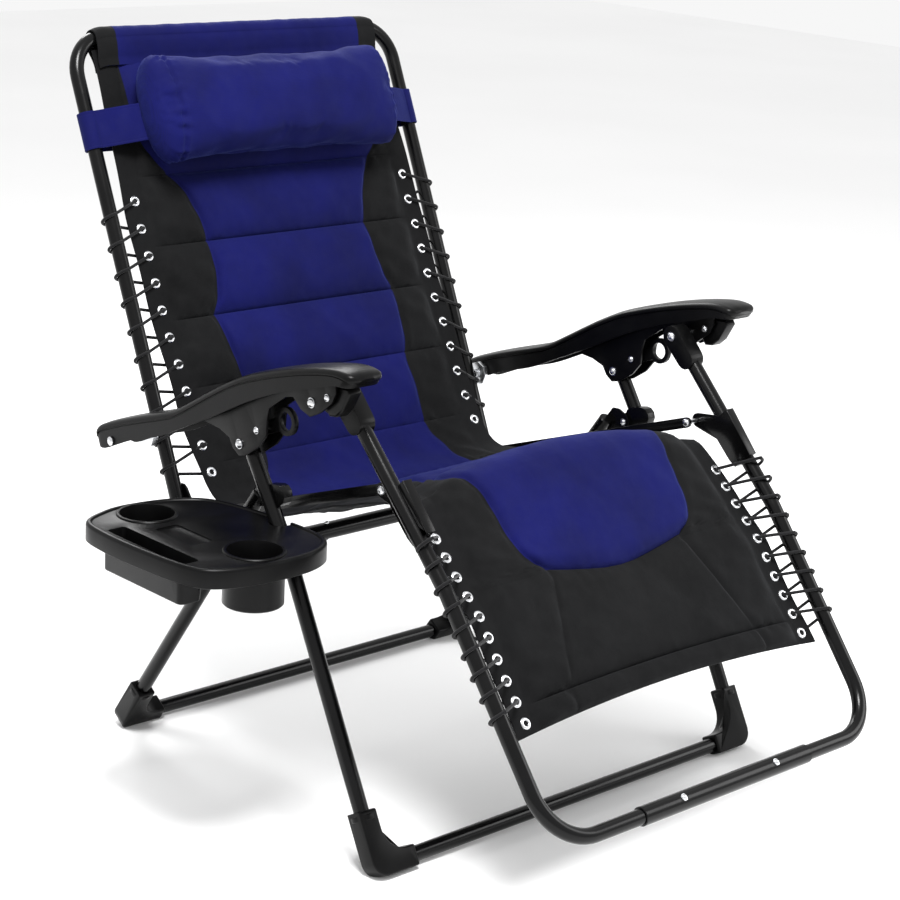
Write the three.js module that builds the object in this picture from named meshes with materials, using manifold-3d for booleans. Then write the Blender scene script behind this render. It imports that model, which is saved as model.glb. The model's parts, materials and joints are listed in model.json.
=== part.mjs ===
// Zero gravity recliner: steel tube legs and frames, plastic armrests, laced padded sling,
// headrest pillow and side tray.
// Millimetres, +Z up. The sitter faces -Y, so +X is the sitter's left side.
// Outlines are written as [y, z] pairs in the chair's own frame: y = 0 is the front floor bar
// and z = 0 is the floor. The whole group is moved at the end, so that its origin lies under
// the middle of the object's box.
import * as THREE from 'three';
import { mergeVertices } from 'three/addons/utils/BufferGeometryUtils.js';
import Module from 'manifold-3d';

const wasm = await Module();
wasm.setup();

// Driving dimensions
const GAP = 0.3;                 // clearance between touching pieces
const TUBE_R = 11;               // 22 mm round steel tube
const TUBE_SIDES = 12;
const SLEEVE_R = 13.4;
const LIFT = 14;                 // height of the floor bars' axes
const FRONT_HALF = 375;          // half-widths of the tube frames, at the tube axes
const REAR_HALF = 351;
const BACK_HALF = 315;
const FOOT_HALF = 332;
const FLOOR_BEND = 60;           // bend radius of the floor and back frames
const FOOT_BEND = 75;
const FRONT_BEND_AT = [216, 410];
const ARM_PIVOT = [303, 538];    // front leg to armrest
const REAR_FLOOR_Y = 616;
const REAR_TOP = [303, 462];
const REAR_PIVOT = [272, 462];   // rear leg to the front leg's saddle
const BACK_PIVOT = [587, 473];   // back frame to armrest
const BACK_SLOPE = 0.455;        // rise of y for each mm of z along the back frame
const BACK_BOTTOM_Z = 292;
const BACK_TOP_Z = 1023;
const FOOT_PIVOT = [154, 632];   // foot frame to armrest
const FOOT_KINK = [-60, 418];
const FOOT_END = [-283, 140];
const RAIL_REAR = [521, 357];    // seat rail to back frame
const RAIL_FRONT = [RAIL_REAR[0] + FOOT_PIVOT[0] - BACK_PIVOT[0],
  RAIL_REAR[1] + FOOT_PIVOT[1] - BACK_PIVOT[1]];   // seat rail to foot frame, a parallelogram
const RAIL_IN = 292;
const RAIL_THICK = 4;
const RAIL_R = 8;
const BOLT_R = 3.5;
const HEAD_R = 7;
const BOLT_SIDES = 8;
const WEB_IN = 357.5;            // the armrest's under-bracket straddles the front leg
const WEB_OUT = 392.5;
const WEB_WALL = 3.5;
const ARM_IN = 344;
const ARM_OUT = 406;
const ARM_WALL = 4;
const PAD_HALF = 262;            // padded part of the sling, inside its eyelets
const CORD_R = 2.4;              // elastic lacing
const TRAY_Z = 441;              // tray's upper face
const TRAY_DEPTH = 27;

// Materials
function finish(color, roughness, metalness) {
  return () => new THREE.MeshStandardMaterial({ color, roughness, metalness });
}
const steelPaint = finish(0x0c0c0d, 0.28, 0.6);
const zinc = finish(0xc9ccd0, 0.3, 0.9);
const plastic = finish(0x141416, 0.55, 0);
const blackCloth = finish(0x17171b, 0.95, 0);
const blueCloth = finish(0x14198f, 0.9, 0);
const elastic = finish(0x0a0a0b, 0.85, 0);

const chair = new THREE.Group();

function add(name, geometry, material) {
  const mesh = new THREE.Mesh(geometry, material());
  mesh.name = name;
  chair.add(mesh);
}

// Adds a piece modelled on the +X side, and its mirror image on the other side.
function addPair(name, geometry, material) {
  add(`${name}_left`, geometry, material);
  add(`${name}_right`, mirrored(geometry), material);
}

// Reflects a geometry in the plane x = 0 and turns its triangles round to face out again.
function mirrored(geometry) {
  const flipped = geometry.index ? geometry.toNonIndexed() : geometry.clone();
  const position = flipped.attributes.position;
  const corner = new THREE.Vector3();
  const swapped = new Float32Array(position.count * 3);
  for (let i = 0; i < position.count; i += 1) {
    const target = i % 3 === 0 ? i : i + (i % 3 === 1 ? 1 : -1);
    corner.fromBufferAttribute(position, i);
    swapped.set([-corner.x, corner.y, corner.z], target * 3);
  }
  const result = new THREE.BufferGeometry();
  result.setAttribute('position', new THREE.BufferAttribute(swapped, 3));
  return result;
}

// Booleans
function toSolid(geometry) {
  const bare = new THREE.BufferGeometry();
  bare.setAttribute('position', geometry.attributes.position.clone());
  if (geometry.index) bare.setIndex(geometry.index.clone());
  const merged = mergeVertices(bare, 1e-4);
  return new wasm.Manifold(new wasm.Mesh({
    numProp: 3,
    vertProperties: new Float32Array(merged.attributes.position.array),
    triVerts: new Uint32Array(merged.index.array),
  }));
}

function toGeometry(solid) {
  const mesh = solid.getMesh();
  const geometry = new THREE.BufferGeometry();
  geometry.setAttribute('position', new THREE.BufferAttribute(mesh.vertProperties, 3));
  geometry.setIndex(new THREE.BufferAttribute(mesh.triVerts, 1));
  return geometry.toNonIndexed();
}

function cut(body, ...tools) {
  return toGeometry(tools.reduce((solid, tool) => solid.subtract(toSolid(tool)), toSolid(body)));
}

function join(...parts) {
  const [first, ...others] = parts.map(toSolid);
  return toGeometry(others.reduce((solid, part) => solid.add(part), first));
}

// A path of straight runs and round bends, sampled only where it turns.
class BentPath extends THREE.Curve {
  constructor(corners, radii, bendStep = Math.PI / 10) {
    super();
    this.stations = [];
    corners.forEach((corner, i) => {
      const before = corners[i - 1];
      const after = corners[i + 1];
      const inward = before && corner.clone().sub(before).normalize();
      const outward = after && after.clone().sub(corner).normalize();
      const turn = before && after ? inward.angleTo(outward) : 0;
      if (turn < 1e-3) {
        this.stations.push([corner, outward ?? inward]);
        return;
      }
      const radius = radii[i] ?? radii;
      const start = corner.clone().addScaledVector(inward, -radius * Math.tan(turn / 2));
      const side = outward.clone().addScaledVector(inward, -outward.dot(inward)).normalize();
      const steps = Math.max(1, Math.round(turn / bendStep));
      for (let k = 0; k <= steps; k += 1) {
        const angle = (turn * k) / steps;
        const point = start.clone().addScaledVector(inward, radius * Math.sin(angle))
          .addScaledVector(side, radius * (1 - Math.cos(angle)));
        const tangent = inward.clone().multiplyScalar(Math.cos(angle))
          .addScaledVector(side, Math.sin(angle));
        this.stations.push([point, tangent]);
      }
    });
  }

  station(u) {
    return this.stations[Math.round(u * (this.stations.length - 1))];
  }

  getPointAt(u, target = new THREE.Vector3()) {
    return target.copy(this.station(u)[0]);
  }

  getTangentAt(u, target = new THREE.Vector3()) {
    return target.copy(this.station(u)[1]);
  }
}

function ring(radius, sides) {
  return new THREE.Shape(Array.from({ length: sides }, (_, i) => {
    const angle = (2 * Math.PI * (i + 0.5)) / sides;
    return new THREE.Vector2(radius * Math.cos(angle), radius * Math.sin(angle));
  }));
}

function sweep(path, radius, sides = TUBE_SIDES) {
  return new THREE.ExtrudeGeometry(ring(radius, sides), {
    steps: path.stations.length - 1, extrudePath: path,
  });
}

function point(x, [y, z]) {
  return new THREE.Vector3(x, y, z);
}

// A shape drawn in the side view (y across, z up), extruded from xLow to xHigh.
function sidePlate(outline, xLow, xHigh, holes = [], bevel = 0, bevelSegments = 1) {
  const shape = outline instanceof THREE.Shape ? outline
    : new THREE.Shape(outline.map(([y, z]) => new THREE.Vector2(y, z)));
  holes.forEach(({ at, radius, sides = 12 }) => {
    const hole = new THREE.Path();
    for (let i = 0; i < sides; i += 1) {
      const angle = (-2 * Math.PI * i) / sides;
      const [y, z] = [at[0] + radius * Math.cos(angle), at[1] + radius * Math.sin(angle)];
      if (i === 0) hole.moveTo(y, z);
      else hole.lineTo(y, z);
    }
    shape.holes.push(hole);
  });
  const geometry = new THREE.ExtrudeGeometry(shape, {
    depth: xHigh - xLow - 2 * bevel,
    bevelEnabled: bevel > 0,
    bevelSize: bevel,
    bevelThickness: bevel,
    bevelOffset: -bevel,
    bevelSegments,
    curveSegments: 8,
  });
  geometry.translate(0, 0, xLow + bevel);
  return geometry.applyMatrix4(new THREE.Matrix4().makeBasis(
    new THREE.Vector3(0, 1, 0), new THREE.Vector3(0, 0, 1), new THREE.Vector3(1, 0, 0)));
}

// A turned piece along X, from [x, radius] pairs in rising x.
function turned(profile, at, sides = 12) {
  const closed = [[profile[0][0], 0], ...profile, [profile.at(-1)[0], 0]];
  const points = closed.map(([x, radius]) => new THREE.Vector2(radius, x));
  const geometry = new THREE.LatheGeometry(points, sides);
  geometry.rotateZ(-Math.PI / 2);
  return geometry.translate(0, at[0], at[1]);
}

// A bolt along X with a washer head at both ends of its grip.
function bolt(at, xLow, xHigh, shaft = BOLT_R, head = HEAD_R) {
  const dome = head * 0.45;
  return turned([
    [xLow - dome, head * 0.5], [xLow - dome * 0.4, head], [xLow, head], [xLow, shaft],
    [xHigh, shaft], [xHigh, head], [xHigh + dome * 0.4, head], [xHigh + dome, head * 0.5],
  ], at, BOLT_SIDES);
}

// The outline of a plate that wraps round circles, as a hull of points on them.
function capsule([y1, z1], r1, [y2, z2], r2, steps = 5) {
  const along = Math.atan2(z2 - z1, y2 - y1);
  const lean = Math.acos((r1 - r2) / Math.hypot(y2 - y1, z2 - z1));
  const arc = (cy, cz, r, from, to) => Array.from({ length: steps + 1 }, (_, i) => {
    const angle = from + ((to - from) * i) / steps;
    return [cy + r * Math.cos(angle), cz + r * Math.sin(angle)];
  });
  return [
    ...arc(y1, z1, r1, along + lean, along + 2 * Math.PI - lean),
    ...arc(y2, z2, r2, along - lean, along + lean),
  ];
}

function smoothOutline(points, samples) {
  const curve = new THREE.SplineCurve(points.map(([y, z]) => new THREE.Vector2(y, z)));
  return curve.getPoints(samples).map(({ x, y }) => [x, y]);
}

// Shifts a poly-line sideways, to its right as it runs.
function offsetLine(points, distance) {
  return points.map(([y, z], i) => {
    const [ya, za] = points[Math.max(0, i - 1)];
    const [yb, zb] = points[Math.min(points.length - 1, i + 1)];
    const length = Math.hypot(yb - ya, zb - za);
    return [y + (distance * (zb - za)) / length, z - (distance * (yb - ya)) / length];
  });
}

function backAxisY(z) {
  return BACK_PIVOT[0] + BACK_SLOPE * (z - BACK_PIVOT[1]);
}

// Front legs: one bent tube, corner boots and a saddle for the rear legs' pivot
const frontPath = new BentPath([
  point(-FRONT_HALF, [ARM_PIVOT[0] + 8, ARM_PIVOT[1] + 12]),
  point(-FRONT_HALF, FRONT_BEND_AT), point(-FRONT_HALF, [0, LIFT]),
  point(FRONT_HALF, [0, LIFT]), point(FRONT_HALF, FRONT_BEND_AT),
  point(FRONT_HALF, [ARM_PIVOT[0] + 8, ARM_PIVOT[1] + 12]),
], FLOOR_BEND);
const armBoltHoles = [-1, 1].map((side) => turned([
  [side * FRONT_HALF - 2 * TUBE_R, BOLT_R + GAP], [side * FRONT_HALF + 2 * TUBE_R, BOLT_R + GAP],
], ARM_PIVOT));
add('front_leg_tube', cut(sweep(frontPath, TUBE_R), ...armBoltHoles), steelPaint);

// Rear legs, the same way
const rearPath = new BentPath([
  point(-REAR_HALF, REAR_TOP), point(-REAR_HALF, [REAR_FLOOR_Y, LIFT]),
  point(REAR_HALF, [REAR_FLOOR_Y, LIFT]), point(REAR_HALF, REAR_TOP),
], FLOOR_BEND);
add('rear_leg_tube', sweep(rearPath, TUBE_R), steelPaint);

// A boot is an L of square corner that follows the leg and the floor bar, open where the tube
// lies and flat underneath.
function cornerBoot(half, floorY, towards, path) {
  const UP = 78;
  const ALONG = 62;
  const WALL = 15;
  const lean = Math.atan2(towards[0] - floorY, towards[1] - LIFT);
  const shape = new THREE.Shape([
    [half + WALL, -WALL], [half + WALL, UP], [half - WALL, UP], [half - WALL, FLOOR_BEND * 0.55],
    [half - FLOOR_BEND * 0.5, WALL], [half - ALONG, WALL], [half - ALONG, -WALL],
  ].map(([x, up]) => new THREE.Vector2(x, up)));
  const block = new THREE.ExtrudeGeometry(shape, {
    depth: 24, bevelEnabled: true, bevelSize: 3, bevelThickness: 3, bevelOffset: -3, bevelSegments: 1,
  });
  block.translate(0, 0, -12);
  block.rotateX(Math.PI / 2);
  block.rotateX(-lean);
  block.translate(0, floorY, LIFT);
  const below = new THREE.BoxGeometry(400, 400, 100).translate(half, floorY, -50);
  return cut(block, below, sweep(path, TUBE_R + GAP));
}
addPair('front_boot', cornerBoot(FRONT_HALF, 0, FRONT_BEND_AT, frontPath), plastic);
addPair('rear_boot', cornerBoot(REAR_HALF, REAR_FLOOR_Y, REAR_TOP, rearPath), plastic);

// The saddle wraps the front leg's tube, and its inner cheek carries the rear leg's rivet.
const saddleOnLeg = [256, 472];
const SADDLE_OUT = FRONT_HALF + TUBE_R + 3;
const SADDLE_IN = FRONT_HALF - TUBE_R - 3.5;
const PLATE_IN = SADDLE_IN - 4;
const CHEEK = 2.5;
const RIVET_HEAD_R = 5.5;
addPair('leg_saddle', cut(
  join(
    sidePlate(capsule([238, 478], 15, saddleOnLeg, 17), SADDLE_IN, SADDLE_OUT),
    sidePlate(capsule(saddleOnLeg, 14, REAR_PIVOT, 11), SADDLE_IN, SADDLE_IN + CHEEK),
  ),
  sweep(frontPath, TUBE_R + GAP),
  turned([[SADDLE_IN - 5, BOLT_R + GAP], [SADDLE_IN + 3, BOLT_R + GAP]], REAR_PIVOT),
  turned([[SADDLE_IN + CHEEK, RIVET_HEAD_R + 1], [SADDLE_OUT + 5, RIVET_HEAD_R + 1]], REAR_PIVOT),
), steelPaint);
addPair('leg_rivet', bolt(REAR_PIVOT, PLATE_IN - GAP, SADDLE_IN + CHEEK + GAP, BOLT_R, RIVET_HEAD_R),
  zinc);

// The rear leg's end plate is a triangle beside the tube, cut round it.
addPair('rear_leg_plate', cut(
  sidePlate([[262, 451], [280, 449], [333, 431], [318, 450], [297, 480], [284, 481], [266, 474],
    [260, 464]], PLATE_IN, PLATE_IN + 3),
  sweep(rearPath, TUBE_R + GAP),
  turned([[PLATE_IN - 2, BOLT_R + GAP], [PLATE_IN + 5, BOLT_R + GAP]], REAR_PIVOT),
), steelPaint);

// Back frame: a tube hoop whose lower ends meet in a sleeve
const backLow = [backAxisY(BACK_BOTTOM_Z), BACK_BOTTOM_Z];
const backHigh = [backAxisY(BACK_TOP_Z), BACK_TOP_Z];
const SLEEVE_END_GAP = 8;
const backPath = new BentPath([
  point(-SLEEVE_END_GAP, backLow), point(-BACK_HALF, backLow), point(-BACK_HALF, backHigh),
  point(BACK_HALF, backHigh), point(BACK_HALF, backLow), point(SLEEVE_END_GAP, backLow),
], FLOOR_BEND);
function barSleeve(half, at) {
  const inner = TUBE_R + GAP;
  const points = [[inner, -half], [SLEEVE_R, -half], [SLEEVE_R, half], [inner, half], [inner, -half]];
  const geometry = new THREE.LatheGeometry(points.map(([r, x]) => new THREE.Vector2(r, x)), 16);
  geometry.rotateZ(-Math.PI / 2);
  return geometry.translate(0, at[0], at[1]);
}
// A cross pin through a sleeve, square to the bar, leaning by the angle given.
function crossPin(x, at, lean, radius, half) {
  const geometry = turned([
    [-half - 2, 2.5], [-half, 5.5], [-half, radius], [half, radius], [half, 5.5], [half + 2, 2.5],
  ], [0, 0], 8);
  geometry.rotateZ(Math.PI / 2);
  geometry.rotateX(lean);
  return geometry.translate(x, at[0], at[1]);
}
function crossHole(x, at, lean, radius) {
  const geometry = turned([[-30, radius], [30, radius]], [0, 0], 8);
  geometry.rotateZ(Math.PI / 2);
  geometry.rotateX(lean);
  return geometry.translate(x, at[0], at[1]);
}
const BACK_SLEEVE_HALF = 128;
const BACK_PIN_X = -56;
const PIN_R = 2.5;
const backPinHole = crossHole(BACK_PIN_X, backLow, 0, PIN_R + GAP);
add('back_tube', cut(sweep(backPath, TUBE_R), backPinHole), steelPaint);
add('back_sleeve', join(barSleeve(BACK_SLEEVE_HALF, backLow),
  crossPin(BACK_PIN_X, backLow, 0, PIN_R, SLEEVE_R - 0.6)), steelPaint);

// Seat rails and the ears that carry their ends
const RAIL_OUT = RAIL_IN + RAIL_THICK;
const boltHole = (at) => ({ at, radius: BOLT_R + GAP });
addPair('seat_rail', sidePlate(capsule(RAIL_REAR, RAIL_R, RAIL_FRONT, RAIL_R), RAIL_IN, RAIL_OUT,
  [boltHole(RAIL_REAR), boltHole(RAIL_FRONT)]), steelPaint);
const BACK_EAR_OUT = BACK_HALF - TUBE_R - GAP;
const BACK_EAR_IN = BACK_EAR_OUT - 3;
addPair('back_ear', sidePlate(capsule([548, 388], 13, RAIL_REAR, 11), BACK_EAR_IN, BACK_EAR_OUT,
  [boltHole(RAIL_REAR)]), steelPaint);
addPair('seat_rear_bolt', bolt(RAIL_REAR, RAIL_IN - GAP, BACK_EAR_OUT + GAP, BOLT_R, 6.5), zinc);

// Foot frame: two J tubes that meet in a sleeve
const footPath = new BentPath([
  point(FOOT_HALF, FOOT_PIVOT), point(FOOT_HALF, FOOT_KINK), point(FOOT_HALF, FOOT_END),
  point(SLEEVE_END_GAP, FOOT_END),
], FOOT_BEND);
const FOOT_SLEEVE_HALF = 172;
const FOOT_PIN_X = 96;
const FOOT_PIN_LEAN = 0.7;
const footPinHole = crossHole(FOOT_PIN_X, FOOT_END, FOOT_PIN_LEAN, PIN_R + GAP);
const CLEVIS_IN = FOOT_HALF - 14;
const CLEVIS_OUT = FOOT_HALF + 11.6;
const pivotBore = turned([[CLEVIS_IN - 5, BOLT_R + GAP], [CLEVIS_OUT + 5, BOLT_R + GAP]], FOOT_PIVOT);
addPair('foot_tube', cut(sweep(footPath, TUBE_R), footPinHole, pivotBore), steelPaint);
const footPin = crossPin(FOOT_PIN_X, FOOT_END, FOOT_PIN_LEAN, PIN_R, SLEEVE_R - 0.6);
add('foot_sleeve', join(barSleeve(FOOT_SLEEVE_HALF, FOOT_END), footPin, mirrored(footPin)),
  steelPaint);

// A moulded cap closes each foot tube and holds the armrest's front bolt.
const capLow = [FOOT_PIVOT[0] - 30, FOOT_PIVOT[1] - 30];
addPair('foot_cap', cut(
  sidePlate(capsule(capLow, 15, FOOT_PIVOT, 16.5, 7), CLEVIS_IN, CLEVIS_OUT + 1),
  sweep(footPath, TUBE_R + GAP), pivotBore,
), plastic);

// A channel bracket hugs the foot tube and reaches back to the seat rail's front bolt.
const EAR_CHEEK = 3;
const EAR_IN = FOOT_HALF - TUBE_R - GAP - EAR_CHEEK;
const EAR_OUT = FOOT_HALF + TUBE_R + GAP + EAR_CHEEK;
const earOnTube = [36, 514];
addPair('foot_ear', cut(
  join(
    sidePlate([[-34, 471], [-14, 449], [20, 470], [57, 505], [57, 522], [34, 546], [22, 533]],
      EAR_IN, EAR_OUT),
    sidePlate(capsule(earOnTube, 20, RAIL_FRONT, 11), EAR_IN, EAR_IN + EAR_CHEEK, [boltHole(RAIL_FRONT)]),
  ),
  sweep(footPath, TUBE_R + GAP),
), steelPaint);
addPair('seat_front_bolt', bolt(RAIL_FRONT, RAIL_IN - GAP, EAR_IN + EAR_CHEEK + GAP, BOLT_R, 6.5), zinc);

// Armrests: a curved moulded cover, hollow underneath, over a bracket with two walls
const armTop = smoothOutline([
  [630, 474], [624, 489], [583, 507], [530, 526], [478, 543], [440, 557], [401, 579], [364, 601],
  [327, 622], [283, 643], [209, 668], [145, 685], [99, 693], [70, 691], [61, 684],
], 24);
const armRim = smoothOutline([
  [70, 671], [99, 669], [140, 656], [209, 634], [275, 606], [352, 566], [414, 536], [473, 508],
  [538, 486], [575, 470], [606, 457], [626, 459],
], 16);
const armCavityTop = offsetLine(armTop, -ARM_WALL);
const rearBoltBore = turned([[ARM_IN - 5, BOLT_R + GAP], [ARM_OUT + 5, BOLT_R + GAP]], BACK_PIVOT);
addPair('armrest', cut(
  sidePlate([...armTop, ...armRim].reverse(), ARM_IN, ARM_OUT, [], 3),
  sidePlate([[598, 440], [598, 488],
    ...armCavityTop.filter(([y]) => y > 90 && y < 596), [86, 640]].reverse(),
  ARM_IN + ARM_WALL, ARM_OUT - ARM_WALL),
  rearBoltBore,
), plastic);

const RING_PIVOT = [267, 566];
const LEVER_PIVOT = [123, 646];
const webTop = offsetLine(armTop, -ARM_WALL - 1.5).filter(([y]) => y > 104 && y < 424);
const webUnder = [[106, 656], [114, 640], [136, 622], [156, 612], [176, 618], [192, 631], [208, 627],
  [242, 603], [246, 586], [247, 562], [262, 543], [288, 525], [304, 521], [317, 529], [326, 542],
  [349, 549], [385, 552], [424, 549]];
const slotCeiling = offsetLine(webTop, -3.5);
const webSlot = sidePlate([[500, 400], [500, 540], ...slotCeiling, [40, 700], [40, 400]].reverse(),
  WEB_IN + WEB_WALL, WEB_OUT - WEB_WALL);
const webBore = (at, radius = BOLT_R + GAP) => turned(
  [[WEB_IN - 5, radius], [WEB_OUT + 5, radius]], at);
addPair('arm_bracket', cut(
  sidePlate([...webTop, ...webUnder].reverse(), WEB_IN, WEB_OUT),
  webSlot, webBore(ARM_PIVOT), webBore(FOOT_PIVOT), webBore(RING_PIVOT), webBore(LEVER_PIVOT),
), plastic);
addPair('leg_pivot_bolt', bolt(ARM_PIVOT, WEB_IN - GAP, WEB_OUT + GAP), zinc);
addPair('foot_pivot_bolt', bolt(FOOT_PIVOT, CLEVIS_IN - GAP, WEB_OUT + GAP), zinc);
// The back frame's bolt has a spacer collar beside the armrest, clear of the lacing.
const COLLAR_R = 20;
const COLLAR_WIDE = 9;
addPair('back_pivot_bolt', turned([
  [BACK_HALF + TUBE_R + GAP, 8], [ARM_IN - GAP - COLLAR_WIDE, 8],
  [ARM_IN - GAP - COLLAR_WIDE, COLLAR_R], [ARM_IN - GAP, COLLAR_R], [ARM_IN - GAP, BOLT_R],
  [ARM_OUT + GAP, BOLT_R], [ARM_OUT + GAP, HEAD_R], [ARM_OUT + 1.6, HEAD_R], [ARM_OUT + 3.4, 3.5],
], BACK_PIVOT, BOLT_SIDES), zinc);

// Recline lock: a lever between the bracket's walls at the front of each armrest
const LEVER_HALF = 11;
const WEB_MIDDLE = (WEB_IN + WEB_OUT) / 2;
addPair('lock_lever', cut(sidePlate([
  [126, 660], [108, 663], [90, 664], [86, 658], [92, 647], [100, 632], [112, 621], [126, 619],
  [137, 633], [140, 653],
], WEB_MIDDLE - LEVER_HALF, WEB_MIDDLE + LEVER_HALF, [], 2), webBore(LEVER_PIVOT)), plastic);
addPair('lever_pin', bolt(LEVER_PIVOT, WEB_IN - GAP, WEB_OUT + GAP, BOLT_R, 5), zinc);

// Fold release: a finger ring that swings on a pin in the bracket
const RING_CENTRE = [223, 587];
const RING_R = 20;
const FINGER_R = 13;
const RING_HALF = 3.5;
const ringDisc = (radius, half) => turned([
  [WEB_MIDDLE - half, radius], [WEB_MIDDLE + half, radius]], RING_CENTRE, 20);
addPair('release_ring', cut(
  join(ringDisc(RING_R, RING_HALF),
    sidePlate(capsule([238, 580], 10, RING_PIVOT, 8), WEB_MIDDLE - RING_HALF, WEB_MIDDLE + RING_HALF)),
  ringDisc(FINGER_R, RING_HALF + 5), webBore(RING_PIVOT),
), plastic);
addPair('ring_pin', bolt(RING_PIVOT, WEB_IN - GAP, WEB_OUT + GAP, BOLT_R, 5), zinc);

// Side tray, on the sitter's right: a moulded top with a skirt, two cups, a long slot, and a
// block that clips round the front leg
const trayOutline = [
  [-589, 384], [-550, 407], [-503, 415], [-432, 402], [-385, 366], [-362, 280], [-356, 195],
  [-361, 152], [-384, 124], [-430, 108], [-506, 108], [-566, 127], [-589, 165], [-599, 250],
  [-600, 334],
];
const CUP_R = 38;
const TRAY_WALL = 3.5;
const CUPS = [{ at: [-500, 366], floor: 376 }, { at: [-474, 162], floor: 366 }];
const SLOT = { x: [-586, -556], y: [172, 340], floor: 384 };
const NOTCH_CLEAR = 1.5;
function closedOutline(points, scale = 1) {
  const [cx, cy] = [-478, 262];
  const ringPoints = points.map(([x, y]) => new THREE.Vector3(
    cx + (x - cx) * scale, cy + (y - cy) * scale, 0));
  return new THREE.CatmullRomCurve3(ringPoints, true).getPoints(40).slice(0, -1)
    .map(({ x, y }) => new THREE.Vector2(x, y));
}
function plan(points, zLow, zHigh, bevel = 0) {
  const geometry = new THREE.ExtrudeGeometry(new THREE.Shape(points), {
    depth: zHigh - zLow - 2 * bevel, bevelEnabled: bevel > 0, bevelSize: bevel,
    bevelThickness: bevel, bevelOffset: -bevel, bevelSegments: 1,
  });
  return geometry.translate(0, 0, zLow + bevel);
}
function upright(radius, [x, y], zLow, zHigh, sides = 20) {
  return new THREE.CylinderGeometry(radius, radius, zHigh - zLow, sides)
    .rotateX(Math.PI / 2).translate(x, y, (zLow + zHigh) / 2);
}
function block([x0, x1], [y0, y1], [z0, z1]) {
  return new THREE.BoxGeometry(x1 - x0, y1 - y0, z1 - z0)
    .translate((x0 + x1) / 2, (y0 + y1) / 2, (z0 + z1) / 2);
}
// The room that the front leg takes as the tray slides on and off it sideways
function legPassage(clear) {
  const reach = TUBE_R + clear;
  const legLine = [[0, LIFT], FRONT_BEND_AT, ARM_PIVOT];
  const band = [...offsetLine(legLine, reach), ...offsetLine(legLine, -reach).reverse()];
  return [sweep(frontPath, reach), sidePlate(band, -FRONT_HALF, -FRONT_HALF + 80)];
}
const trayLow = TRAY_Z - TRAY_DEPTH;
const shell = cut(plan(closedOutline(trayOutline), trayLow, TRAY_Z, 3),
  plan(closedOutline(trayOutline, 0.968), trayLow - 10, TRAY_Z - TRAY_WALL));
const wells = join(
  ...CUPS.map(({ at, floor }) => upright(CUP_R + TRAY_WALL, at, floor, TRAY_Z - 1)),
  block([SLOT.x[0] - TRAY_WALL, SLOT.x[1] + TRAY_WALL], [SLOT.y[0] - TRAY_WALL, SLOT.y[1] + TRAY_WALL],
    [SLOT.floor, TRAY_Z - 1]),
  block([-398, -352], [184, 240], [378, TRAY_Z - 1]),
);
add('tray', cut(join(shell, wells),
  ...CUPS.map(({ at, floor }) => upright(CUP_R, at, floor + TRAY_WALL, TRAY_Z + 20)),
  block(SLOT.x, SLOT.y, [SLOT.floor + TRAY_WALL, TRAY_Z + 20]),
  ...legPassage(NOTCH_CLEAR),
), plastic);

// Padded sling, in five runs of one curve, and the elastic lacing at its edges. The two short
// runs lie close round the seat rails' pivots, clear of the long runs as they swing.
const backAlong = new THREE.Vector2(BACK_SLOPE, 1).normalize();
const onBack = (along, ahead) => [
  BACK_PIVOT[0] + backAlong.x * along - backAlong.y * ahead,
  BACK_PIVOT[1] + backAlong.y * along + backAlong.x * ahead,
];
// How far the cloth lies ahead of the back frame: it leaves the tubes towards the seat.
const BACK_TOP_EYELET = 347;
const backAhead = (along) => 5 + 34 * Math.max(0, (BACK_TOP_EYELET - along) / 459) ** 2;
const PAD_THICK = 20;
function slab(line, thickness, half) {
  const outline = [...offsetLine(line, thickness / 2), ...offsetLine(line, -thickness / 2).reverse()];
  return sidePlate(THREE.ShapeUtils.isClockWise(outline.map(([y, z]) => new THREE.Vector2(y, z)))
    ? outline.reverse() : outline, -half, half);
}
const BACK_PAD_ALONG = [-34, 588];
const backLine = Array.from({ length: 9 },
  (_, i) => THREE.MathUtils.lerp(...BACK_PAD_ALONG, i / 8))
  .map((along) => onBack(along, backAhead(along)));
const seatLine = smoothOutline([[104, 520], [150, 490], [220, 448], [300, 412], [380, 387],
  [440, 379]], 9);
const calfLine = smoothOutline([[-186, 250], [-145, 298], [-75, 375], [-20, 441], [22, 494]], 6);
const CALF_HALF = 275;
const HIP_TURN = 50;             // radius of the run round the rear pivot
const hipLine = Array.from({ length: 5 }, (_, i) => THREE.MathUtils.degToRad(163 - 15.5 * i))
  .map((angle) => [RAIL_REAR[0] + HIP_TURN * Math.cos(angle), RAIL_REAR[1] + HIP_TURN * Math.sin(angle)]);
const kneeLine = smoothOutline([[42, 517], [50, 530], [66, 537], [76, 534]], 5);
add('back_pad', slab(backLine, PAD_THICK, PAD_HALF), blueCloth);
add('seat_pad', slab(seatLine, PAD_THICK, PAD_HALF), blueCloth);
add('calf_pad', slab(calfLine, PAD_THICK - 4, CALF_HALF), blackCloth);
add('hip_pad', slab(hipLine, PAD_THICK - 6, PAD_HALF), blueCloth);
add('knee_pad', slab(kneeLine, PAD_THICK - 8, PAD_HALF), blueCloth);

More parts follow.
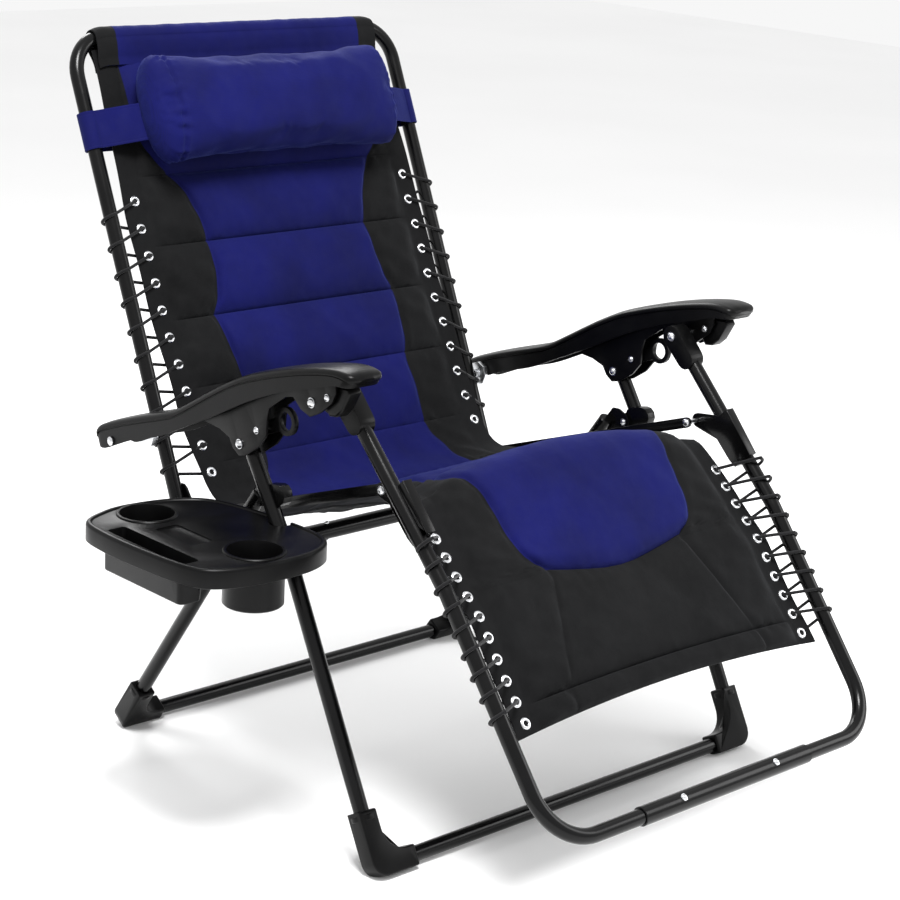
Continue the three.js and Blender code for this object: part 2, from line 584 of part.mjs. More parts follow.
// One cord weaves down an edge: over the tube, round it, and up through the next eyelet.
class Weave extends THREE.Curve {
  constructor(points) {
    super();
    this.points = points;
  }

  getPointAt(u, target = new THREE.Vector3()) {
    return target.copy(this.points[Math.round(u * (this.points.length - 1))]);
  }

  getTangentAt(u, target = new THREE.Vector3()) {
    const i = Math.round(u * (this.points.length - 1));
    const last = this.points.length - 1;
    return target.copy(this.points[Math.min(i + 1, last)]).sub(this.points[Math.max(i - 1, 0)])
      .normalize();
  }
}
const CORD_SIDES = 6;
const WRAP_ANGLES = [105, 63, 21, -21, -63, -105];
function lacing({ half, eyeletX, first, pitch, count, at, ahead }) {
  const wrap = TUBE_R + CORD_R + 2.4;
  const points = [];
  for (let k = 0; k < count; k += 1) {
    const along = first + pitch * k;
    const rise = ahead(along);
    const next = along + pitch;
    points.push(point(eyeletX, at(along, rise + 5)));
    WRAP_ANGLES.forEach((degrees, i) => {
      const angle = (degrees * Math.PI) / 180;
      const share = 0.35 + (0.3 * i) / (WRAP_ANGLES.length - 1);
      points.push(point(half + wrap * Math.cos(angle), at(along + pitch * share, wrap * Math.sin(angle))));
    });
    points.push(point(eyeletX, at(next, ahead(next) - 5)));
  }
  return new THREE.ExtrudeGeometry(ring(CORD_R, CORD_SIDES), {
    steps: points.length - 1, extrudePath: new Weave(points),
  });
}
addPair('back_lace', lacing({
  half: BACK_HALF, eyeletX: PAD_HALF + 8, first: BACK_TOP_EYELET, pitch: -42.5, count: 10,
  at: onBack, ahead: backAhead,
}), elastic);
const footAlong = new THREE.Vector2(FOOT_END[0] - FOOT_KINK[0], FOOT_END[1] - FOOT_KINK[1]).normalize();
const onFoot = (along, ahead) => [
  FOOT_KINK[0] + footAlong.x * along + footAlong.y * ahead,
  FOOT_KINK[1] + footAlong.y * along - footAlong.x * ahead,
];
addPair('foot_lace', lacing({
  half: FOOT_HALF, eyeletX: CALF_HALF + 9, first: -18, pitch: 32.5, count: 7,
  at: onFoot, ahead: () => -13,
}), elastic);

// Headrest: a pillow on one elastic band that runs round both back tubes
const PILLOW_HALF = 222;
const PILLOW = { along: 472, ahead: 60, tall: 84, deep: 44 };
const STRAP_TOP = 489;
const STRAP_WIDE = 57;
const pillowSection = Array.from({ length: 20 }, (_, i) => {
  const angle = (2 * Math.PI * i) / 20;
  const power = (value) => Math.sign(value) * Math.abs(value) ** 0.7;
  return onBack(PILLOW.along + PILLOW.tall * power(Math.cos(angle)),
    PILLOW.ahead + PILLOW.deep * power(Math.sin(angle)));
});
add('headrest_pillow', sidePlate(pillowSection, -PILLOW_HALF, PILLOW_HALF, [], 14, 2), blueCloth);
const strapTurn = TUBE_R + 3;
const strapHalf = [
  [228, 46], [262, 33],
  ...[115, 75, 40, 0, -40, -90].map((degrees) => [
    BACK_HALF + strapTurn * Math.cos((degrees * Math.PI) / 180),
    strapTurn * Math.sin((degrees * Math.PI) / 180)]),
];
const strapLine = [...strapHalf, ...strapHalf.map(([x, ahead]) => [-x, ahead]).reverse()];
const strapOutline = [...offsetLine(strapLine, 1), ...offsetLine(strapLine, -1).reverse()];
const strap = new THREE.ExtrudeGeometry(
  new THREE.Shape(strapOutline.map(([x, ahead]) => new THREE.Vector2(x, ahead))),
  { depth: STRAP_WIDE, bevelEnabled: false });
strap.applyMatrix4(new THREE.Matrix4().makeBasis(
  new THREE.Vector3(1, 0, 0),
  new THREE.Vector3(0, -backAlong.y, backAlong.x),
  new THREE.Vector3(0, -backAlong.x, -backAlong.y),
).setPosition(point(0, onBack(STRAP_TOP, 0))));
add('headrest_strap', strap, blueCloth);

// The origin goes under the middle of the box.
chair.updateMatrixWorld(true);
const box = new THREE.Box3().setFromObject(chair);
chair.position.set(-(box.min.x + box.max.x) / 2, -(box.min.y + box.max.y) / 2, -box.min.z);

export default chair;
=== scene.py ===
"""Zero gravity recliner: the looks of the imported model, in metres, in its own frame."""
import json
from math import atan2, copysign, cos, pi, radians, sin, sqrt, tan, tau

import bmesh
import bpy
import numpy as np
from mathutils import Matrix, Vector


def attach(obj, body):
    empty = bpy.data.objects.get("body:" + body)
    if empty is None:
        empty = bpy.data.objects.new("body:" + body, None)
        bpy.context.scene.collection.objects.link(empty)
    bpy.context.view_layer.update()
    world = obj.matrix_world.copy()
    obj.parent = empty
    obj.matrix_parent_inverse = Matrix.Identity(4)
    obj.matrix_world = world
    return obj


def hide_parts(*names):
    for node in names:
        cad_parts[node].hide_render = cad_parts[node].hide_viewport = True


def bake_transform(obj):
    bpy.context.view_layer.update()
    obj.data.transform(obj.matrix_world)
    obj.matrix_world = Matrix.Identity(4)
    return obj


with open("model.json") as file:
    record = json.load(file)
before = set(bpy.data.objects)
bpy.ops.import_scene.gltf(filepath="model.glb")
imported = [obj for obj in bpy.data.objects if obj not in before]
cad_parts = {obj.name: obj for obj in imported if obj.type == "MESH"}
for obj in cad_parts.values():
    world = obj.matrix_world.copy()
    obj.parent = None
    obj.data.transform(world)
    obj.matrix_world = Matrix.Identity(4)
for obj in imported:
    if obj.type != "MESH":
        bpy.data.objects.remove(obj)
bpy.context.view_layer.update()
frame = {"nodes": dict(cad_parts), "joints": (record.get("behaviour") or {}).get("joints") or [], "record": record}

MM = 0.001
ARM_PIVOT = (303.0, 538.0)      # [y, z] in the chair's own frame: y = 0 is the front floor bar
_arm = next(j for j in frame["joints"] if j["name"] == "arm_fold")["pos_m"]
MIDDLE = Vector((_arm[0], _arm[1] - ARM_PIVOT[0] * MM, _arm[2] - ARM_PIVOT[1] * MM))

TUBE_R = 11.0
FRONT_HALF, REAR_HALF, BACK_HALF, FOOT_HALF = 375.0, 351.0, 315.0, 332.0
BACK_PIVOT = (587.0, 473.0)
BACK_UP = Vector((0.41415, 0.91021))
BACK_LEAN = 0.455
RAIL_REAR, RAIL_FRONT = (521.0, 357.0), (88.0, 516.0)
FOOT_PIVOT, FOOT_KINK, FOOT_END = (154.0, 632.0), (-60.0, 418.0), (-283.0, 140.0)
SIDES = ((1, "left"), (-1, "right"))


def at(x, y, z):
    """A point of the chair's own frame, in millimetres, as a point of the model's frame."""
    return MIDDLE + Vector((x, y, z)) * MM


def on_back(along, ahead):
    return (BACK_PIVOT[0] + BACK_UP.x * along - BACK_UP.y * ahead,
            BACK_PIVOT[1] + BACK_UP.y * along + BACK_UP.x * ahead)


FOOT_DOWN = (Vector(FOOT_END) - Vector(FOOT_KINK)).normalized()


def on_foot(along, ahead):
    return (FOOT_KINK[0] + FOOT_DOWN.x * along + FOOT_DOWN.y * ahead,
            FOOT_KINK[1] + FOOT_DOWN.y * along - FOOT_DOWN.x * ahead)


# Materials
class Nodes:
    """A material's node tree, with its Principled shader."""

    def __init__(self, name, **sockets):
        self.material = bpy.data.materials.new(name)
        self.material.use_nodes = True
        self.tree = self.material.node_tree
        self.shader = self.tree.nodes["Principled BSDF"]
        for socket, value in sockets.items():
            self.shader.inputs[socket.replace("_", " ")].default_value = value

    def add(self, kind, **values):
        node = self.tree.nodes.new(kind)
        for key, value in values.items():
            if key in node.bl_rna.properties and key != "Scale":
                setattr(node, key, value)
            else:
                node.inputs[key.replace("_", " ")].default_value = value
        return node

    def link(self, a, out, b, socket):
        self.tree.links.new(a.outputs[out], b.inputs[socket])

    def noise(self, scale, detail):
        texture = self.add("ShaderNodeTexNoise", Scale=scale, Detail=detail)
        self.link(self.add("ShaderNodeTexCoord"), "Object", texture, "Vector")
        return texture

    def blend_colour(self, factor, dark, light, low=0.35, high=0.65):
        ramp = self.add("ShaderNodeValToRGB")
        for stop, position, colour in zip(ramp.color_ramp.elements, (low, high), (dark, light)):
            stop.position, stop.color = position, (*colour, 1)
        self.link(factor, 0, ramp, "Fac")
        return ramp

    def spread(self, factor, low, high):
        spread = self.add("ShaderNodeMapRange", To_Min=low, To_Max=high)
        self.link(factor, 0, spread, "Value")
        return spread

    def bump(self, height, strength, distance, below=None):
        bump = self.add("ShaderNodeBump", Strength=strength, Distance=distance)
        self.link(height, 0, bump, "Height")
        if below:
            self.link(below, "Normal", bump, "Normal")
        return bump

    def done(self, colour, roughness=None, bump=None):
        self.link(colour, 0, self.shader, "Base Color")
        if roughness:
            self.link(roughness, 0, self.shader, "Roughness")
        if bump:
            self.link(bump, "Normal", self.shader, "Normal")
        return self.material


def hard_finish(name, dark, light, roughness, grain, grain_depth, **sockets):
    """Paint, plate or moulded plastic: mottled colour, uneven gloss and a fine grain."""
    n = Nodes(name, **sockets)
    colour = n.blend_colour(n.noise(14.0, 4.0), dark, light)
    gloss = n.spread(n.noise(45.0, 5.0), *roughness)
    return n.done(colour, gloss, n.bump(n.noise(grain, 2.0), 0.35, grain_depth))


def cloth(name, dark, light, sheen_tint, threads=620.0, sheen=0.12):
    """Plain-woven cloth: two crossed sets of threads on the piece's own UV, in metres."""
    n = Nodes(name, Sheen_Weight=sheen, Sheen_Roughness=0.45, Sheen_Tint=sheen_tint,
              Specular_IOR_Level=0.12)
    where = n.add("ShaderNodeTexCoord")
    weave = n.add("ShaderNodeMath", operation="MAXIMUM")
    waves_per_metre = tau * threads / 20
    for i, direction in enumerate("XY"):
        thread = n.add("ShaderNodeTexWave", bands_direction=direction, Scale=waves_per_metre,
                       Distortion=0.6, Detail=1.0)
        n.link(where, "UV", thread, "Vector")
        n.link(thread, "Fac", weave, i)
    tone = n.add("ShaderNodeMath", operation="MULTIPLY_ADD")
    tone.inputs[1].default_value = 0.35
    n.link(weave, 0, tone, 0)
    n.link(n.noise(9.0, 5.0), 0, tone, 2)
    colour = n.blend_colour(tone, dark, light, 0.45, 1.0)
    gloss = n.spread(n.noise(60.0, 3.0), 0.72, 0.95)
    creases = n.bump(n.noise(30.0, 5.0), 0.35, 0.004)
    return n.done(colour, gloss, n.bump(weave, 0.3, 0.0004, creases))


STEEL = hard_finish("painted_steel", (0.001, 0.001, 0.0011), (0.0022, 0.0022, 0.0024),
                    (0.16, 0.28), 420.0, 0.0001, Specular_IOR_Level=0.2)
ZINC = hard_finish("zinc_steel", (0.62, 0.63, 0.65), (0.82, 0.83, 0.85), (0.18, 0.36), 700.0, 0.0003,
                   Metallic=1.0)
PLASTIC = hard_finish("black_plastic", (0.0012, 0.0012, 0.0013), (0.0028, 0.0028, 0.003),
                      (0.26, 0.4), 950.0, 0.0002, Specular_IOR_Level=0.13)
# painted shade: a near-black matte finish for the plugs that fill the eyelets' holes
HOLE_SHADE_FINISH = hard_finish("eyelet_hole_shade", (0.002, 0.002, 0.002), (0.004, 0.004, 0.004), (0.8, 0.95),
                   400.0, 0.0003)
BLUE = cloth("blue_cloth", (0.0011, 0.0016, 0.033), (0.0026, 0.0036, 0.068), (0.2, 0.28, 0.95, 1))
BLACK = cloth("black_cloth", (0.0014, 0.0014, 0.0016), (0.0042, 0.0043, 0.0047),
              (0.6, 0.62, 0.66, 1), sheen=0.06)
CORD = cloth("elastic_cord", (0.004, 0.004, 0.0045), (0.011, 0.011, 0.012), (0.5, 0.5, 0.5, 1),
             2400.0, 0.3)
SLOTS = {"painted_steel": STEEL, "zinc_steel": ZINC, "black_plastic": PLASTIC, "blue_cloth": BLUE,
         "black_cloth": BLACK, "elastic_cord": CORD}
SLOT_OF = {p["node"]: p["material_slot"] for p in frame["record"]["subparts"]}
BODY_OF = {n: b for b, ns in frame["record"]["behaviour"]["bodies"].items() for n in ns}


# Meshes
def scene_object(name, data):
    obj = bpy.data.objects.new(name, data)
    bpy.context.scene.collection.objects.link(obj)
    return obj


def corner_vertices(mesh):
    """The vertex of each face corner."""
    loops = np.empty(len(mesh.loops), int)
    mesh.loops.foreach_get("vertex_index", loops)
    return loops


def new_object(name, verts, faces, materials, indices=None, uvs=None, smooth=True, sharp=40):
    mesh = bpy.data.meshes.new(name)
    mesh.from_pydata([tuple(v) for v in verts], [], faces)
    for material in materials:
        mesh.materials.append(material)
    if indices is not None:
        mesh.polygons.foreach_set("material_index", indices)
    if uvs is not None:
        layer = mesh.uv_layers.new(name="Cloth")
        layer.data.foreach_set("uv", np.asarray(uvs, float)[corner_vertices(mesh)].ravel())
    mesh.validate()
    if smooth:
        mesh.shade_smooth()
        if sharp:
            mesh.set_sharp_from_angle(angle=radians(sharp))
    return scene_object(name, mesh)


def put(obj, body, slot, *nodes):
    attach(obj, body)
    if nodes:
        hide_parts(*nodes)
    return obj


def loft_faces(rings, sides, base=0, caps=True):
    """Faces through closed rings of vertices, with a cap over the first and last ring."""
    faces = [(base + i * sides + k, base + i * sides + (k + 1) % sides,
              base + (i + 1) * sides + (k + 1) % sides, base + (i + 1) * sides + k)
             for i in range(rings - 1) for k in range(sides)]
    if caps:
        faces += [tuple(range(sides))[::-1], tuple(range((rings - 1) * sides, rings * sides))]
    return faces


def edited(obj, *changes):
    """Runs each change on the object's mesh."""
    bm = bmesh.new()
    bm.from_mesh(obj.data)
    for change in changes:
        change(bm)
    bm.to_mesh(obj.data)
    bm.free()
    return obj


def face_outwards(bm):
    bmesh.ops.recalc_face_normals(bm, faces=bm.faces)


def join_flat(bm, distance, degrees):
    """Merges vertices closer than distance, and faces that meet at less than degrees."""
    bmesh.ops.remove_doubles(bm, verts=bm.verts, dist=distance)
    bmesh.ops.dissolve_limit(bm, angle_limit=radians(degrees), verts=bm.verts, edges=bm.edges)


def round_edges(bm, width, degrees):
    """Rounds the edges sharper than degrees, and splits the large faces."""
    edges = [e for e in bm.edges if len(e.link_faces) == 2
             and e.calc_face_angle(0) > radians(degrees)]
    bmesh.ops.bevel(bm, geom=edges, offset=width, segments=2, profile=0.6, affect="EDGES",
                    clamp_overlap=True)
    bmesh.ops.triangulate(bm, faces=[f for f in bm.faces if len(f.verts) > 4])


def applied(obj):
    """Turns the object's modifiers into its mesh."""
    result = bpy.data.meshes.new_from_object(
        obj.evaluated_get(bpy.context.evaluated_depsgraph_get()))
    obj.modifiers.clear()
    obj.data = result
    return obj


def join_meshes(name, parts, materials):
    """One object from (verts, faces, uvs, material index) parts."""
    verts, faces, uvs, indices = [], [], [], []
    for v, f, uv, index in parts:
        base = len(verts)
        verts += list(v)
        uvs += list(uv) if uv is not None else [(0, 0)] * len(v)
        faces += [tuple(base + i for i in face) for face in f]
        indices += [index] * len(f)
    return new_object(name, verts, faces, materials, indices, uvs)


def rounded(corners, radii):
    """A polyline with its corners turned into arcs of about 7 degrees a step."""
    corners = [Vector(c) for c in corners]
    out = [corners[0]]
    for i in range(1, len(corners) - 1):
        a, b = (corners[i] - corners[i - 1]).normalized(), (corners[i + 1] - corners[i]).normalized()
        turn = a.angle(b)
        radius = radii[i] if isinstance(radii, (list, tuple)) else radii
        if turn < 1e-3:
            out.append(corners[i])
            continue
        start = corners[i] - a * radius * tan(turn / 2)
        side = (b - a * b.dot(a)).normalized()
        steps = max(2, round(turn / 0.12))
        out += [start + a * radius * sin(turn * k / steps)
                + side * radius * (1 - cos(turn * k / steps)) for k in range(steps + 1)]
    return out + [corners[-1]]


def smooth_line(points, n=8, closed=False):
    """Catmull-Rom through points of any dimension."""
    p = [np.array(q, float) for q in points]
    p = [p[-1], *p, *p[:2]] if closed else [2 * p[0] - p[1], *p, 2 * p[-1] - p[-2]]
    out = []
    for i in range(1, len(p) - 2):
        a, b, c, d = p[i - 1:i + 3]
        for k in range(n):
            t = k / n
            out.append(0.5 * (2 * b + (c - a) * t + (2 * a - 5 * b + 4 * c - d) * t * t
                              + (3 * b - a - 3 * c + d) * t ** 3))
    return out if closed else out + [p[-2]]


def circle(centre, up, across, radius, sides):
    """Points round centre, from up towards across."""
    angles = [tau * k / sides for k in range(sides)]
    return [centre + (up * cos(a) + across * sin(a)) * radius for a in angles]


def tube_part(points, radius, sides, caps=True):
    """A swept round tube with slightly rounded ends. points are in metres."""
    points = [Vector(p) for p in points]
    if caps:
        a, b = (points[1] - points[0]).normalized(), (points[-1] - points[-2]).normalized()
        ends = radius * 0.15
        points = [points[0], points[0] + a * ends, *points[1:-1], points[-1] - b * ends, points[-1]]
    n = len(points)
    tangents = [(points[min(i + 1, n - 1)] - points[max(i - 1, 0)]).normalized() for i in range(n)]
    up = tangents[0].orthogonal().normalized()
    verts, uvs, length = [], [], 0.0
    for i in range(n):
        if i:
            length += (points[i] - points[i - 1]).length
        up = (up - tangents[i] * up.dot(tangents[i])).normalized()
        r = radius * (0.85 if caps and i in (0, n - 1) else 1)
        verts += circle(points[i], up, tangents[i].cross(up), r, sides)
        uvs += [(tau * k / sides * radius, length) for k in range(sides)]
    return verts, loft_faces(n, sides), uvs, 0


def pipe(name, points, body, node):
    part = tube_part(points, TUBE_R * MM, 36)
    put(join_meshes(name, [part], [STEEL]), body, "painted_steel", node)


def turned_part(profile, centre, axis=(1, 0, 0), sides=28, index=0):
    """A solid of revolution: profile is [(distance along axis, radius)] in metres."""
    axis = Vector(axis).normalized()
    up = axis.orthogonal().normalized()
    centre = Vector(centre)
    verts = [centre + axis * profile[0][0]]
    for along, radius in profile:
        verts += circle(centre + axis * along, up, axis.cross(up), radius, sides)
    verts.append(centre + axis * profile[-1][0])
    last = len(verts) - 1
    faces = [(0, 1 + (k + 1) % sides, 1 + k) for k in range(sides)]
    faces += loft_faces(len(profile), sides, 1, caps=False)
    faces += [(last, last - sides + k, last - sides + (k + 1) % sides) for k in range(sides)]
    return verts, faces, [(v.x, v.y) for v in verts], index


def bolt_profile(low, high, shaft, head):
    """A bolt with a domed head and a washer at both ends of its grip."""
    tall, washer = head * 0.55, head * 0.16
    left = [(low - washer - tall * cos(a), head * sin(a))
            for a in [pi / 2 * i / 6 for i in range(1, 7)]]
    left = [(x, r * 0.86) for x, r in left] + [(low - washer, head), (low, head), (low, shaft)]
    right = [(low + high - x, r) for x, r in reversed(left)]
    return [(x * MM, r * MM) for x, r in left + right]


def refined(node, trims):
    """A finer copy of a CAD node: merged, its flat faces joined up, and its edges rounded.
    What lies on the normal's side of each (point, normal) plane in trims is taken off."""
    bm = bmesh.new()
    bm.from_mesh(frame["nodes"][node].data)
    join_flat(bm, 2e-6, 1.0)
    for point, normal in trims:
        everything = bm.verts[:] + bm.edges[:] + bm.faces[:]
        cut = bmesh.ops.bisect_plane(bm, geom=everything, plane_co=point, plane_no=normal,
                                     clear_outer=True)["geom_cut"]
        bmesh.ops.holes_fill(bm, edges=[e for e in cut if isinstance(e, bmesh.types.BMEdge)])
        face_outwards(bm)
    round_edges(bm, 0.0008, 28)
    mesh = bpy.data.meshes.new(node + "_fine")
    bm.to_mesh(mesh)
    bm.free()
    mesh.materials.append(SLOTS[SLOT_OF[node]])
    mesh.shade_smooth()
    mesh.set_sharp_from_angle(angle=radians(38))
    put(scene_object(node + "_fine", mesh), BODY_OF[node], SLOT_OF[node], node)


# Camera, floor and light
FOCAL_PX, FRAME_PX, SENSOR = 2324.28, 900.0, 36.0
AZIMUTH, ELEVATION, ROLL = (radians(a) for a in (-43.93, 16.55, 3.27))
SHIFT_Y = 0.004
look = -Vector((sin(AZIMUTH) * cos(ELEVATION), -cos(AZIMUTH) * cos(ELEVATION),
                sin(ELEVATION)))
level = look.cross(Vector((0, 0, 1))).normalized()
upright = level.cross(look)
right = level * cos(ROLL) + upright * sin(ROLL)
above = upright * cos(ROLL) - level * sin(ROLL)
camera_data = bpy.data.cameras.new("camera")
camera_data.sensor_width = SENSOR
camera_data.lens = FOCAL_PX / FRAME_PX * SENSOR
camera_data.shift_y = SHIFT_Y
camera_data.clip_end = 50
camera = scene_object("camera", camera_data)
turn = Matrix((right, above, -look)).transposed().to_4x4()
camera.matrix_world = Matrix.Translation(at(-2305.7, -2100.1, 1450.0)) @ turn
bpy.context.scene.camera = camera


def area_light(name, where, towards, size, watts):
    light = bpy.data.lights.new(name, "AREA")
    light.shape, light.size, light.energy = "DISK", size, watts
    obj = scene_object(name, light)
    obj.location = at(*where)
    aim = at(*towards) - obj.location
    obj.rotation_mode = "QUATERNION"
    obj.rotation_quaternion = aim.to_track_quat("-Z", "Y")


area_light("key", (-900, -500, 3000), (0, 250, 450), 1.0, 120)
area_light("fill", (2200, -1500, 1500), (0, 200, 450), 1.4, 22)
area_light("rim", (900, 2600, 2300), (0, 300, 500), 1.6, 50)
world = bpy.data.worlds.new("studio")
world.use_nodes = True
world.node_tree.nodes["Background"].inputs["Color"].default_value = (1.0, 1.0, 1.0, 1)
world.node_tree.nodes["Background"].inputs["Strength"].default_value = 0.93
bpy.context.scene.world = world
bpy.context.scene.view_settings.view_transform = "Standard"

floor_paint = Nodes("floor", Roughness=0.9, Specular_IOR_Level=0.1)
floor_paint.done(floor_paint.blend_colour(floor_paint.noise(0.8, 2.0), (0.93, 0.93, 0.93),
                                          (0.95, 0.95, 0.95)))
FLOOR_HALF, SQUARE = 9e3, ((-1, -1), (1, -1), (1, 1), (-1, 1))
floor_corners = [at(x * FLOOR_HALF, y * FLOOR_HALF, 0) for x, y in SQUARE]
floor = new_object("floor", floor_corners, [(0, 1, 2, 3)], [floor_paint.material], smooth=False)

# Tubes
LIFT, REAR_FLOOR_Y = 14.0, 616.0
FRONT_TOP, REAR_TOP, FRONT_BEND = (311.0, 550.0), (303.0, 462.0), (216.0, 410.0)
BACK_LOW, BACK_HIGH = ((BACK_PIVOT[0] + BACK_LEAN * (z - BACK_PIVOT[1]), z) for z in (292.0, 1023.0))


def bent(points, radius):
    return [at(*p) for p in rounded(points, radius)]


def hoop(half, *places):
    """A tube's line through places on the right side, then back through them on the left."""
    return bent([(-half, *p) for p in places] + [(half, *p) for p in reversed(places)], 60.0)


FRONT_RUN = hoop(FRONT_HALF, FRONT_TOP, FRONT_BEND, (0, LIFT))
REAR_RUN = hoop(REAR_HALF, REAR_TOP, (REAR_FLOOR_Y, LIFT))
pipe("front_legs_fine", FRONT_RUN, "front_legs", "front_leg_tube")
pipe("rear_legs_fine", REAR_RUN, "rear_legs", "rear_leg_tube")
back_run = [(-8, *BACK_LOW), (-BACK_HALF, *BACK_LOW), (-BACK_HALF, *BACK_HIGH),
            (BACK_HALF, *BACK_HIGH), (BACK_HALF, *BACK_LOW), (8, *BACK_LOW)]
pipe("back_frame_fine", bent(back_run, 60.0), "back", "back_tube")
for side, label in SIDES:
    foot_run = [(side * FOOT_HALF, *p) for p in (FOOT_PIVOT, FOOT_KINK, FOOT_END)]
    foot_run.append((side * 8, *FOOT_END))
    pipe(f"foot_frame_{label}", bent(foot_run, 75.0), "footrest", f"foot_tube_{label}")


def sleeve(name, half, where, body, node, pins, lean):
    """A tube over the joint of two bars, with rolled ends and domed cross pins."""
    inner, outer, lip = TUBE_R + 0.2, 13.4, 1.0
    profile = [(-half, inner), (-half, outer - lip), (-half + lip, outer), (half - lip, outer),
               (half, outer - lip), (half, inner)]
    parts = [turned_part([(a * MM, r * MM) for a, r in profile], at(0, *where), sides=36)]
    direction = (0, -sin(lean), cos(lean))
    for x in pins:
        parts.append(turned_part(bolt_profile(-outer, outer, 2.5, 5.2), at(x, *where), direction,
                                 20, 1))
    put(join_meshes(name, parts, [STEEL, ZINC]), body, "painted_steel", node)


sleeve("back_sleeve_fine", 128, BACK_LOW, "back", "back_sleeve", (-56,), 0.0)
sleeve("foot_sleeve_fine", 172, FOOT_END, "footrest", "foot_sleeve", (-96, 96), 0.7)

# Bolts: name, place, inner end, outer end, body, CAD node, head's radius
WEB_IN, WEB_OUT = 357.5, 392.5
BOLTS = (("leg_bolt_{}", ARM_PIVOT, WEB_IN, WEB_OUT, "armrests", "leg_pivot_bolt_{}", 7.0),
         ("foot_bolt_{}", FOOT_PIVOT, 318.0, WEB_OUT, "armrests", "foot_pivot_bolt_{}", 7.0),
         ("lever_pin_{}_fine", (123, 646), WEB_IN, WEB_OUT, "armrests", "lever_pin_{}", 5.0),
         ("ring_pin_{}_fine", (267, 566), WEB_IN, WEB_OUT, "armrests", "ring_pin_{}", 5.0),
         ("rail_rear_bolt_{}", RAIL_REAR, 292.0, 303.7, "seat_rear_pivots", "seat_rear_bolt_{}", 6.5),
         ("rail_front_bolt_{}", RAIL_FRONT, 292.0, 320.7, "seat_front_pivots", "seat_front_bolt_{}",
          6.5),
         ("leg_rivet_{}_fine", (272, 462), 356.5, 363.0, "front_legs", "leg_rivet_{}", 5.5))
SHAFT_R = 3.5
for side, label in SIDES:
    for name, where, low, high, body, node, head in BOLTS:
        x = 0.5 * (low + high)
        part = turned_part(bolt_profile(low - x, high - x, SHAFT_R, head), at(side * x, *where))
        put(join_meshes(name.format(label), [part], [ZINC]), body, "zinc_steel", node.format(label))

# Plates, brackets, levers and rings keep the frame's shapes, with their edges rounded.
FINE = ("arm_bracket", "leg_saddle", "rear_leg_plate", "back_ear", "foot_ear", "foot_cap",
        "lock_lever", "release_ring", "seat_rail", "back_pivot_bolt")
for node in list(frame["nodes"]):
    side = -1 if node.endswith("right") else 1
    trims = []
    if node.startswith("foot_ear"):
        trims = [(at(0, -4, 474), Vector((0, -1, -1)).normalized()),
                 (at(side * (FOOT_HALF + 1), 0, 0), Vector((side, 0, 0)))]
    if node.startswith("leg_saddle"):
        trims = [(at(side * (FRONT_HALF + 1), 0, 0), Vector((side, 0, 0)))]
    if node.startswith(FINE):
        refined(node, trims)


# Solid tools
def solid(name, outline, low, high, frame_of, bevel=0.0):
    """An outline extruded from low to high; frame_of(a, b, h) gives a point in metres."""
    n = len(outline)
    verts = [frame_of(a, b, h) for h in (low, high) for a, b in outline]
    faces = [tuple(range(n)), tuple(range(n, 2 * n))]
    faces += [(i, (i + 1) % n, n + (i + 1) % n, n + i) for i in range(n)]

    def round_rims(bm):
        rims = [e for f in bm.faces if len(f.verts) == n for e in f.edges]
        bmesh.ops.bevel(bm, geom=rims, offset=bevel, segments=4, profile=0.5, affect="EDGES",
                        clamp_overlap=True)

    changes = [face_outwards, round_rims] if bevel else [face_outwards]
    return edited(new_object(name, verts, faces, [PLASTIC], smooth=False), *changes)


def combine(obj, operation, *others):
    """Joins or cuts obj by others, which are used up."""
    for other in others:
        modifier = obj.modifiers.new("combine", "BOOLEAN")
        modifier.operation, modifier.object, modifier.solver = operation, other, "EXACT"
    applied(obj)
    for other in others:
        bpy.data.objects.remove(other)


def soften(obj, width):
    """Rounds the sharp edges that booleans leave, and shades the rest smooth."""
    edited(obj, lambda bm: join_flat(bm, 2e-5, 0.5), lambda bm: round_edges(bm, width, 35))
    obj.data.shade_smooth()
    obj.data.set_sharp_from_angle(angle=radians(42))
    return obj


def loose_tube(name, points, radius):
    return join_meshes(name, [tube_part(points, radius, 36, caps=False)], [PLASTIC])


# Corner boots
def boot(node, half, floor_y, leg_top, tube, body, side):
    up, along, wall, depth = 78.0, 62.0, 15.0, 15.0
    lean = atan2(leg_top[0] - floor_y, leg_top[1] - LIFT)
    corners = [(half + wall, up), (half - wall, up), (half - wall, wall), (half - along, wall),
               (half - along, -wall), (half + wall, -wall)]
    outline = rounded(corners + corners[:1], [0, 3, 34, 3, 3, 24, 0])[:-1]

    def place(x, h, d):
        return at(side * x, floor_y + h * sin(lean) + d * cos(lean),
                  LIFT + h * cos(lean) - d * sin(lean))

    obj = solid(node + "_fine", outline, -depth, depth, place, 0.0065)
    reach = 200
    square = [(half + a * reach, floor_y + b * reach) for a, b in SQUARE]
    below = solid("below", square, -120, 0, lambda x, y, z: at(side * x, y, z))
    ring = [(-0.004, 0.0158), (-0.003, 0.0168), (0.003, 0.0168), (0.004, 0.0158)]
    across = place(half, 1, 0) - place(half, 0, 0)
    collar = join_meshes("collar", [turned_part(ring, place(half, up - 9, 0), across, 40)], [PLASTIC])
    combine(obj, "UNION", collar)
    combine(obj, "DIFFERENCE", below, loose_tube("bore", tube, (TUBE_R + 0.25) * MM))
    put(soften(obj, 0.0006), body, "black_plastic", node)


for side, label in SIDES:
    boot(f"front_boot_{label}", FRONT_HALF, 0, FRONT_BEND, FRONT_RUN, "front_legs", side)
    boot(f"rear_boot_{label}", REAR_HALF, REAR_FLOOR_Y, REAR_TOP, REAR_RUN, "rear_legs", side)

